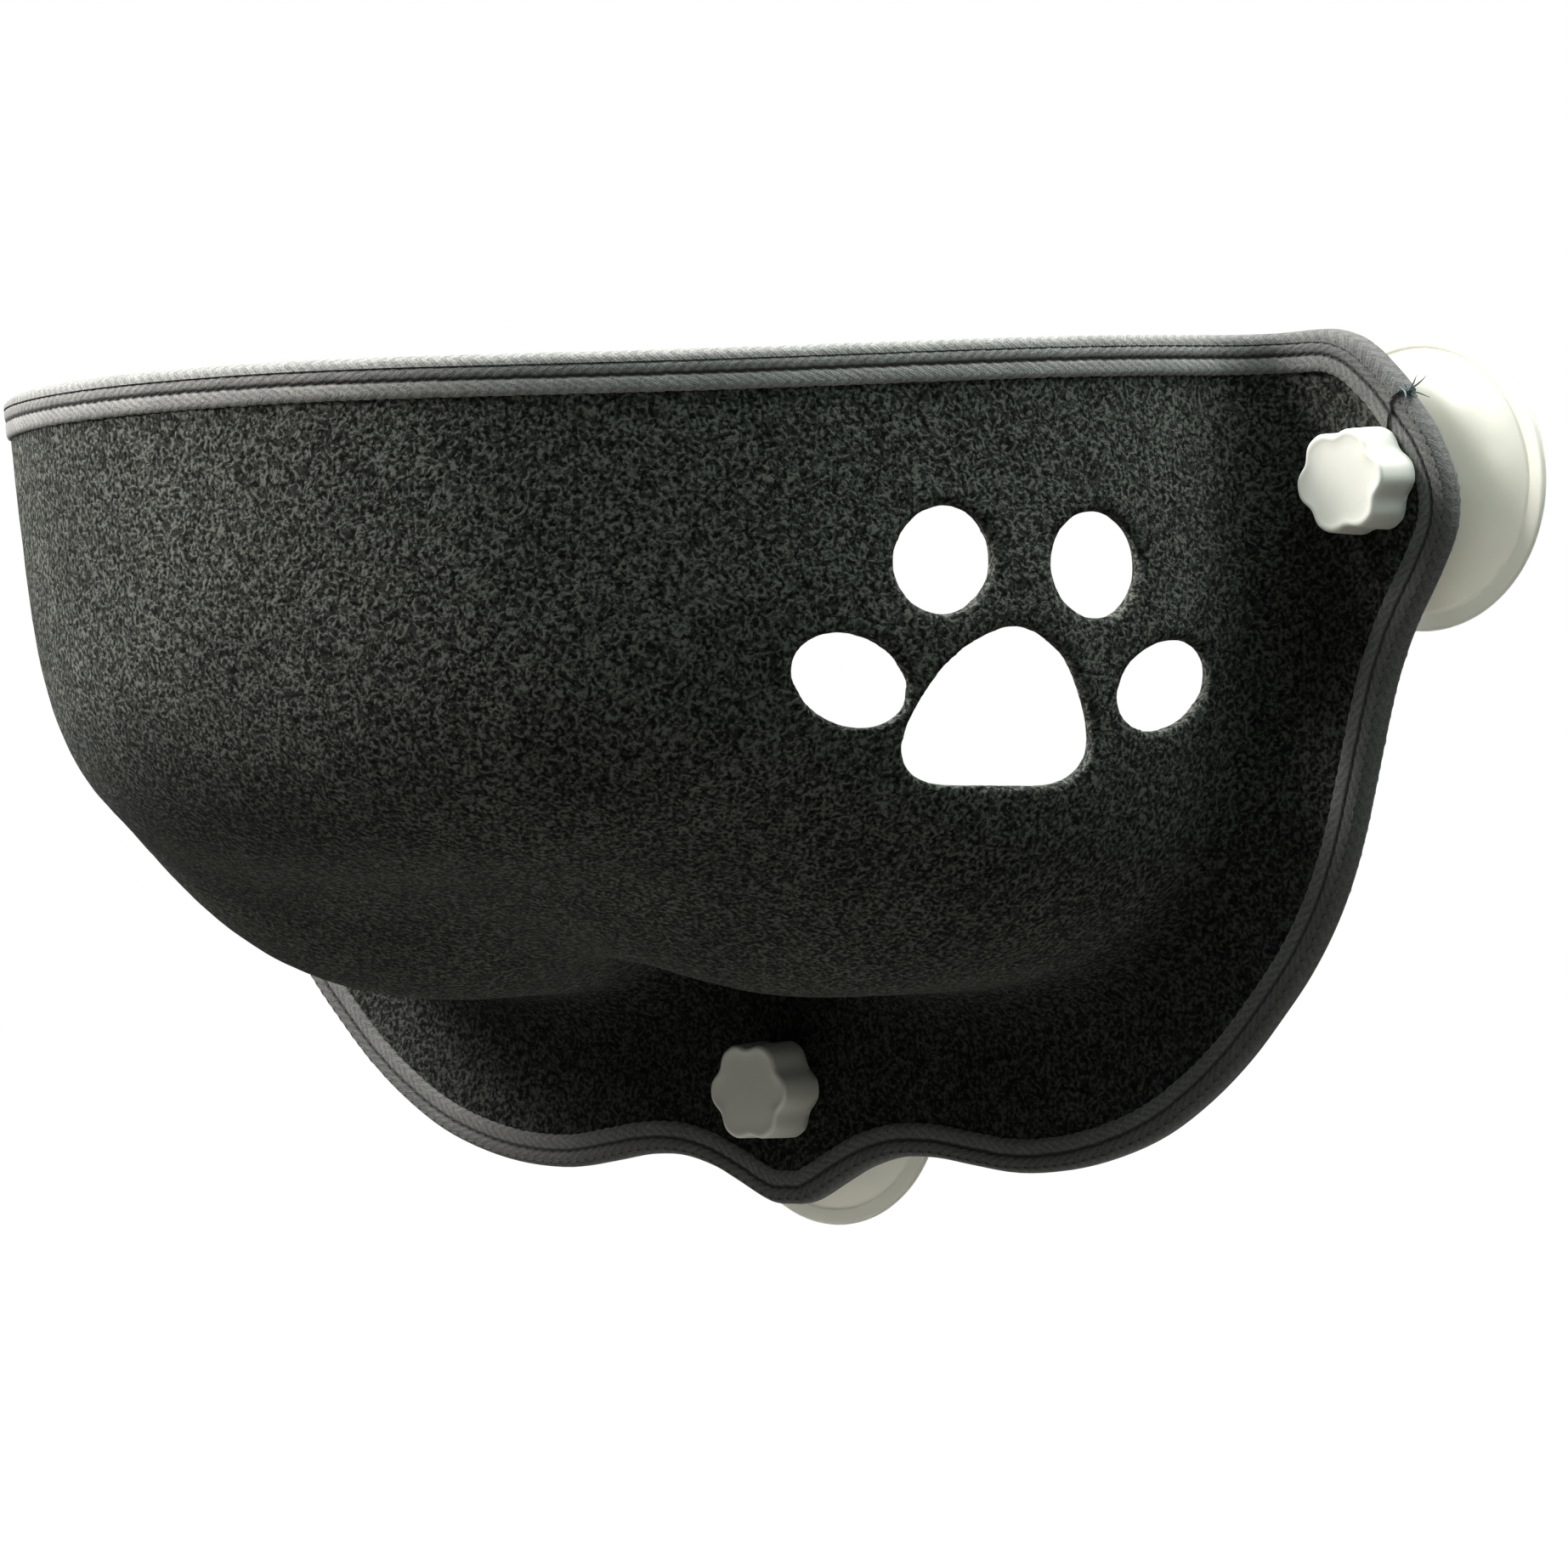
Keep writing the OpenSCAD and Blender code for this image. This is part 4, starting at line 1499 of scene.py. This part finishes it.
@dataclass
class SuctionCup:
    """A moulded cup: a flat lip with a beaded edge, a groove inside it, a soft dome and a neck."""

    radius: float = 47.5
    height: float = 18.7
    lip: float = 2.4
    hollow: float = 4.5
    hollow_rows: int = 16
    flat: float = 3.0
    dome: float = 9.0
    dome_rows: int = 30
    crowding: float = 1.5
    fullness: float = 2.6
    neck: float = 12.5
    neck_foot: float = 0.8
    # How far in from the neck's side and how far down from its top its rounded edge runs.
    neck_edge: tuple[Pair, ...] = ((0.2, 0.9), (0.9, 0.1), (1.6, 0))
    bore: float = 4.05
    bore_edge: Pair = (0.25, 0.3)
    bore_floor: float = 1.0
    bead: float = 1.3
    bead_turns: range = range(-75, 91, 15)
    ring: float = 42.4
    # How far out from the groove and how far down from the lip's top the lip slopes into it.
    ring_slope: tuple[Pair, ...] = ((1.5, 0.02), (0, 0.08))
    groove: float = 0.7
    groove_w: float = 0.45
    fold: float = 0.38
    fold_size: float = 22.0
    fold_shift: float = 0.5
    # The folds' inner and outer limit, from the neck and from the groove, and how wide they fade there.
    fold_inner: Pair = (1.5, 6)
    fold_outer: Pair = (4, 8)
    fitting: Fitting = Fitting("cup", "suction_cup", "cup", "cup_vinyl", (0, 40, 15), 40)

    def profile(self) -> list[Pair]:
        """The half section, from the middle of the hollow to the neck's bore.

        Returns:
            Radius and height of each point, in millimetres.
        """
        flat = self.radius - self.bead - self.flat
        shares = [s / self.hollow_rows for s in range(self.hollow_rows + 1)]
        under = [(flat * share, self.hollow * (1 - share ** 2)) for share in shares]
        edge = arc(self.radius - self.bead, self.lip / 2, self.bead, self.lip / 2, self.bead_turns)
        foot = self.ring - 3 * self.groove_w
        bottom = self.lip - self.groove
        lip = [(self.ring + out, self.lip - down) for out, down in self.ring_slope]
        lip += [(self.ring - self.groove_w, bottom), (self.ring - 2 * self.groove_w, bottom)]
        lip.append((foot, self.lip))
        dome = []
        for i in range(1, self.dome_rows + 1):
            s = 1 - (i / self.dome_rows) ** self.crowding
            height = self.lip + (self.dome - self.lip) * (1 - s ** self.fullness)
            dome.append((self.neck + (foot - self.neck) * s, height))
        top, low = self.height, self.dome + self.bore_floor
        neck = [(self.neck, self.dome + self.neck_foot)]
        neck += [(self.neck - inwards, top - down) for inwards, down in self.neck_edge]
        bore = [(self.bore + self.bore_edge[0], top), (self.bore, top - self.bore_edge[1])]
        bore += [(self.bore, low), (0, low)]
        return under + edge + lip + dome + neck + bore

    def build(self, material: Material) -> list[Piece]:
        """Makes the three cups.

        Args:
            material: The finish.

        Returns:
            The cups.
        """
        master = turned("cup_master", self.profile())
        (inside, fade_in), (outside, fade_out) = self.fold_inner, self.fold_outer
        inner, outer = self.neck + inside, self.ring - outside
        for vertex in master.data.vertices:
            p = vertex.co / MM
            radius, height = math.hypot(p.x, p.z), -p.y
            if height > self.lip and inner < radius:
                share = smooth_step((outer - radius) / fade_out) * smooth_step((radius - inner) / fade_in)
                wave = abs(noise.noise(p / self.fold_size)) * 2 - self.fold_shift
                vertex.co.y += self.fold * share * wave * MM
        return self.fitting.stand(master, material)


@dataclass
class Knob:
    """A six-lobed hand knob with a slightly dished face inside a crisp ring, and a blind bore."""

    radius: float = 17.5
    height: float = 16.8
    depth: float = 2.1
    lobes: int = 6
    fullness: float = 1.6
    lobes_from: float = 5.0
    lobes_full: float = 12.0
    edge: float = 1.2
    edge_turns: range = range(15, 91, 15)
    flare: float = 0.8
    side_rows: int = 5
    foot: float = 28.0
    # How far in from the side the foot's edge starts and ends, and how high it is.
    foot_edge: Point = (0.6, 0.1, 0.5)
    boss: float = 11.0
    bore: float = 4.05
    bore_depth: float = 12.5
    dish: float = 0.3
    # How far in from the face's edge the ring slopes down, and to what share of the dish's depth.
    dish_slope: tuple[Pair, ...] = ((0.5, 0), (1.1, 0.4), (1.7, 0.8))
    sides: int = 144
    fitting: Fitting = Fitting("hand_knob", "knob", "knob", "knob_plastic", (7, 24, 0), 45)

    def lobed(self, radius: float, height: float, angle: float) -> float:
        """Radius at an angle: full on the lobes, less in the rounded hollows between them.

        Args:
            radius: The ring's full radius, in millimetres.
            height: The ring's height, which changes nothing here.
            angle: The angle, in radians.

        Returns:
            The radius there.
        """
        share = min(1.0, max(0.0, (radius - self.lobes_from) / (self.lobes_full - self.lobes_from)))
        wave = ((1 - math.cos(self.lobes * angle)) / 2) ** self.fullness
        return radius - self.depth * wave * share

    def build(self, material: Material) -> list[Piece]:
        """Makes the three knobs.

        Args:
            material: The finish.

        Returns:
            The knobs.
        """
        foot, top, side = self.foot, self.foot + self.height, self.radius
        face, sunk, end = side - self.flare - self.edge, top - self.dish, foot + self.bore_depth
        starts, ends, rise = self.foot_edge
        rings = [(0, end), (self.bore, end), (self.bore, foot), (self.boss, foot)]
        rings += [(side - starts, foot), (side - ends, foot + rise)]
        tall = self.height - self.edge - rise
        for k in range(1, self.side_rows + 1):
            rings.append((side - self.flare * k / self.side_rows, foot + rise + tall * k / self.side_rows))
        rings += arc(face, top - self.edge, self.edge, self.edge, self.edge_turns)
        rings += [(face - inwards, top - self.dish * share) for inwards, share in self.dish_slope]
        rings += [(self.boss, sunk), (self.lobes_from, sunk), (0, sunk)]
        return self.fitting.stand(turned("knob_master", rings, self.lobed, self.sides), material)


@dataclass
class ClampScrew:
    """The screw in a cup's neck: a round head and a shank with a 2 mm thread."""

    shank: float = 4.0
    head: float = 8.0
    head_low: float = 9.2
    head_thick: float = 3.5
    head_edge: float = 0.4
    neck_round: Pair = (0.05, 0.3)
    plain: float = 0.6
    tip: float = 40.4
    tip_edge: Pair = (0.7, 0.6)
    pitch: float = 2.0
    thread: float = 0.45
    slack: float = 0.1
    steps: int = 130
    sides: int = 36
    fitting: Fitting = Fitting("clamp_screw", "screw", "cup", "screw_steel", (0, 110, 70), 50)

    def threaded(self, radius: float, height: float, angle: float) -> float:
        """Radius of the shank, cut by the thread's groove.

        Args:
            radius: The ring's full radius, in millimetres.
            height: The ring's height.
            angle: The angle, in radians.

        Returns:
            The radius there.
        """
        if height < self.head_low + self.head_thick + self.plain or radius > self.shank + self.slack:
            return radius
        phase = (height / self.pitch - angle / math.tau) % 1.0
        return radius - self.thread * abs(2 * phase - 1)

    def build(self, material: Material) -> list[Piece]:
        """Makes the three screws.

        Args:
            material: The finish.

        Returns:
            The screws.
        """
        low, top, head, edge = self.head_low, self.head_low + self.head_thick, self.head, self.head_edge
        rings = [(0, low), (head - edge, low), (head, low + edge), (head, top - edge), (head - edge, top)]
        rings += [(self.shank + self.neck_round[0], top), (self.shank, top + self.neck_round[1])]
        tall = self.tip - top - (self.plain + self.tip_edge[1])
        for k in range(self.steps + 1):
            rings.append((self.shank, top + self.plain + tall * k / self.steps))
        rings += [(self.shank - self.tip_edge[0], self.tip), (0, self.tip)]
        return self.fitting.stand(turned("screw_master", rings, self.threaded, self.sides), material)


# Studio


@dataclass(frozen=True)
class Lamp:
    """A square soft lamp: its name, its place and side in metres, its power in watts and its colour."""

    name: str
    at: Point
    side: float
    watts: float
    colour: str = "#ffffff"

    def hang(self, aim: Point) -> None:
        """Hangs the lamp.

        Args:
            aim: The point that it faces, in metres.
        """
        data = bpy.data.lights.new(self.name, "AREA")
        data.shape = "SQUARE"
        data.size = self.side
        data.energy = self.watts
        data.color = linear(self.colour)[:3]
        lamp = bpy.data.objects.new(self.name, data)
        lamp.location = self.at
        lamp.rotation_mode = "QUATERNION"
        lamp.rotation_quaternion = (Vector(aim) - Vector(self.at)).to_track_quat("-Z", "Y")
        bpy.context.scene.collection.objects.link(lamp)


@dataclass
class Studio:
    """Pale floor, soft lamps and the camera at the photograph's viewing angle."""

    camera_at: Point = (1.678, -1.9534, 0.1219)
    turn: float = 40.96
    pitch: float = -0.45
    roll: float = -2.13
    sensor: float = 36.0
    focal_pixels: float = 8990
    photo_pixels: float = 1845
    sight: float = 60.0
    floor_z: float = -0.95
    floor_side: float = 40.0
    floor_colour: str = "#6e6e6a"
    floor_seen: float = 1.2
    white_share: float = 0.85
    fill_light: float = 0.035
    aim: Point = (0, -0.12, 0.12)
    lamps: tuple[Lamp, ...] = (
        Lamp("key", (-1.3, -0.9, 2.2), 0.7, 90),
        Lamp("top", (0.45, 0.35, 1.7), 1.2, 85),
        Lamp("high_left", (-1.05, -1.5, 1.6), 1.0, 85),
        Lamp("left", (-1.6, -1.35, 1.35), 1.0, 30),
        Lamp("cool_side", (0.9, -0.25, 1.15), 0.6, 6, "#c4f0ee"),
        Lamp("soft_right", (1.5, -1.7, 0.6), 1.2, 5))

    def camera(self) -> None:
        """Places the camera, with its frame's middle on the photograph's middle."""
        data = bpy.data.cameras.new("camera")
        data.sensor_width = self.sensor
        data.lens = self.focal_pixels / self.photo_pixels * self.sensor
        data.clip_end = self.sight
        camera = bpy.data.objects.new("camera", data)
        az, el, roll = (math.radians(v) for v in (self.turn, self.pitch, self.roll))
        ahead = Vector((-math.sin(az) * math.cos(el), math.cos(az) * math.cos(el), math.sin(el)))
        right = Vector((math.cos(az), math.sin(az), 0))
        up = right.cross(ahead)
        r = right * math.cos(roll) + up * math.sin(roll)
        u = up * math.cos(roll) - right * math.sin(roll)
        turned_to = Matrix((r, u, -ahead)).transposed().to_4x4()
        camera.matrix_world = Matrix.Translation(self.camera_at) @ turned_to
        bpy.context.scene.collection.objects.link(camera)
        bpy.context.scene.camera = camera

    def pale(self, name: str) -> Material:
        """A stage material that the camera, mirrors and clear things see as plain white.

        Args:
            name: The material's name.

        Returns:
            The material.
        """
        material = bpy.data.materials.new(name)
        material.use_nodes = True
        tree = material.node_tree
        tree.nodes.clear()
        path = add_node(tree, Kind.RAY)
        rays = ("Camera", "Glossy", "Transmission")
        camera, glossy, through_glass = (path.outputs[f"Is {ray} Ray"] for ray in rays)
        matt = add_node(tree, Kind.MATT, {"Color": linear(self.floor_colour)})
        glow = add_node(tree, Kind.GLOW, {"Strength": self.floor_seen})
        seen = add_node(tree, Kind.MATH, [camera, glossy], operation="MAXIMUM")
        seen_too = add_node(tree, Kind.MATH, [seen, through_glass], operation="MAXIMUM")
        share = add_node(tree, Kind.MATH, [seen_too, self.white_share], operation="MULTIPLY")
        add_node(tree, Kind.SURFACE, [add_node(tree, Kind.EITHER, [share, matt, glow])])
        return material

    def floor(self) -> None:
        """Lays the floor well below the perch, which hangs on its window."""
        deselect()
        bpy.ops.mesh.primitive_plane_add(size=self.floor_side, location=(0, 0, self.floor_z))
        floor = bpy.context.object
        floor.name = "floor"
        floor.data.materials.append(self.pale("pale_floor"))

    def world(self) -> None:
        """Sets a plain white world that lights the perch softly from all round."""
        world = bpy.data.worlds.new("white_room")
        bpy.context.scene.world = world
        world.use_nodes = True
        tree = world.node_tree
        tree.nodes.clear()
        path = add_node(tree, Kind.RAY)
        camera, through_glass = (path.outputs[f"Is {ray} Ray"] for ray in ("Camera", "Transmission"))
        seen = add_node(tree, Kind.MATH, [camera, through_glass], operation="MAXIMUM")
        strength = add_node(tree, Kind.RANGE, {"Value": seen, "To Min": self.fill_light, "To Max": 1.0})
        back = add_node(tree, Kind.BACKDROP, {"Color": linear("#ffffff"), "Strength": strength})
        add_node(tree, Kind.SKY, [back])

    def build(self) -> None:
        """Sets up the whole studio."""
        self.camera()
        self.floor()
        self.world()
        for lamp in self.lamps:
            lamp.hang(self.aim)
        bpy.context.scene.view_settings.view_transform = "Standard"


def main() -> None:
    """Builds the perch piece by piece."""
    logging.basicConfig(level=logging.INFO, format="%(message)s")
    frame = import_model()
    Studio().build()
    form = BowlForm()
    shell = FeltShell(form)
    felt = shell.build()
    dress(felt, FELT.make(), "felt")
    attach(felt, "shell")
    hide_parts("pod_shell")
    LOG.info("felt shell: %d faces", len(felt.data.polygons))
    tape, lap, seam, yarns = EdgeTape(form, shell).build()
    weave = TAPE.make()
    finishes = (weave, weave, THREAD.make(), YARN.make())
    for piece, material in zip((tape, lap, seam, yarns), finishes):
        dress(piece, material, "tape")
        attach(piece, "shell")
        LOG.info("%s: %d faces", piece.name, len(piece.data.polygons))
    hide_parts("edge_binding")
    SuctionCup().build(VINYL.make())
    Knob().build(KNOB_ABS.make())
    ClampScrew().build(ZINC.make())
    washer = WASHER_PE.make()
    for place in Place:
        dress(frame["nodes"][f"{place.value}_washer"], washer)


if __name__ == "__main__":
    main()
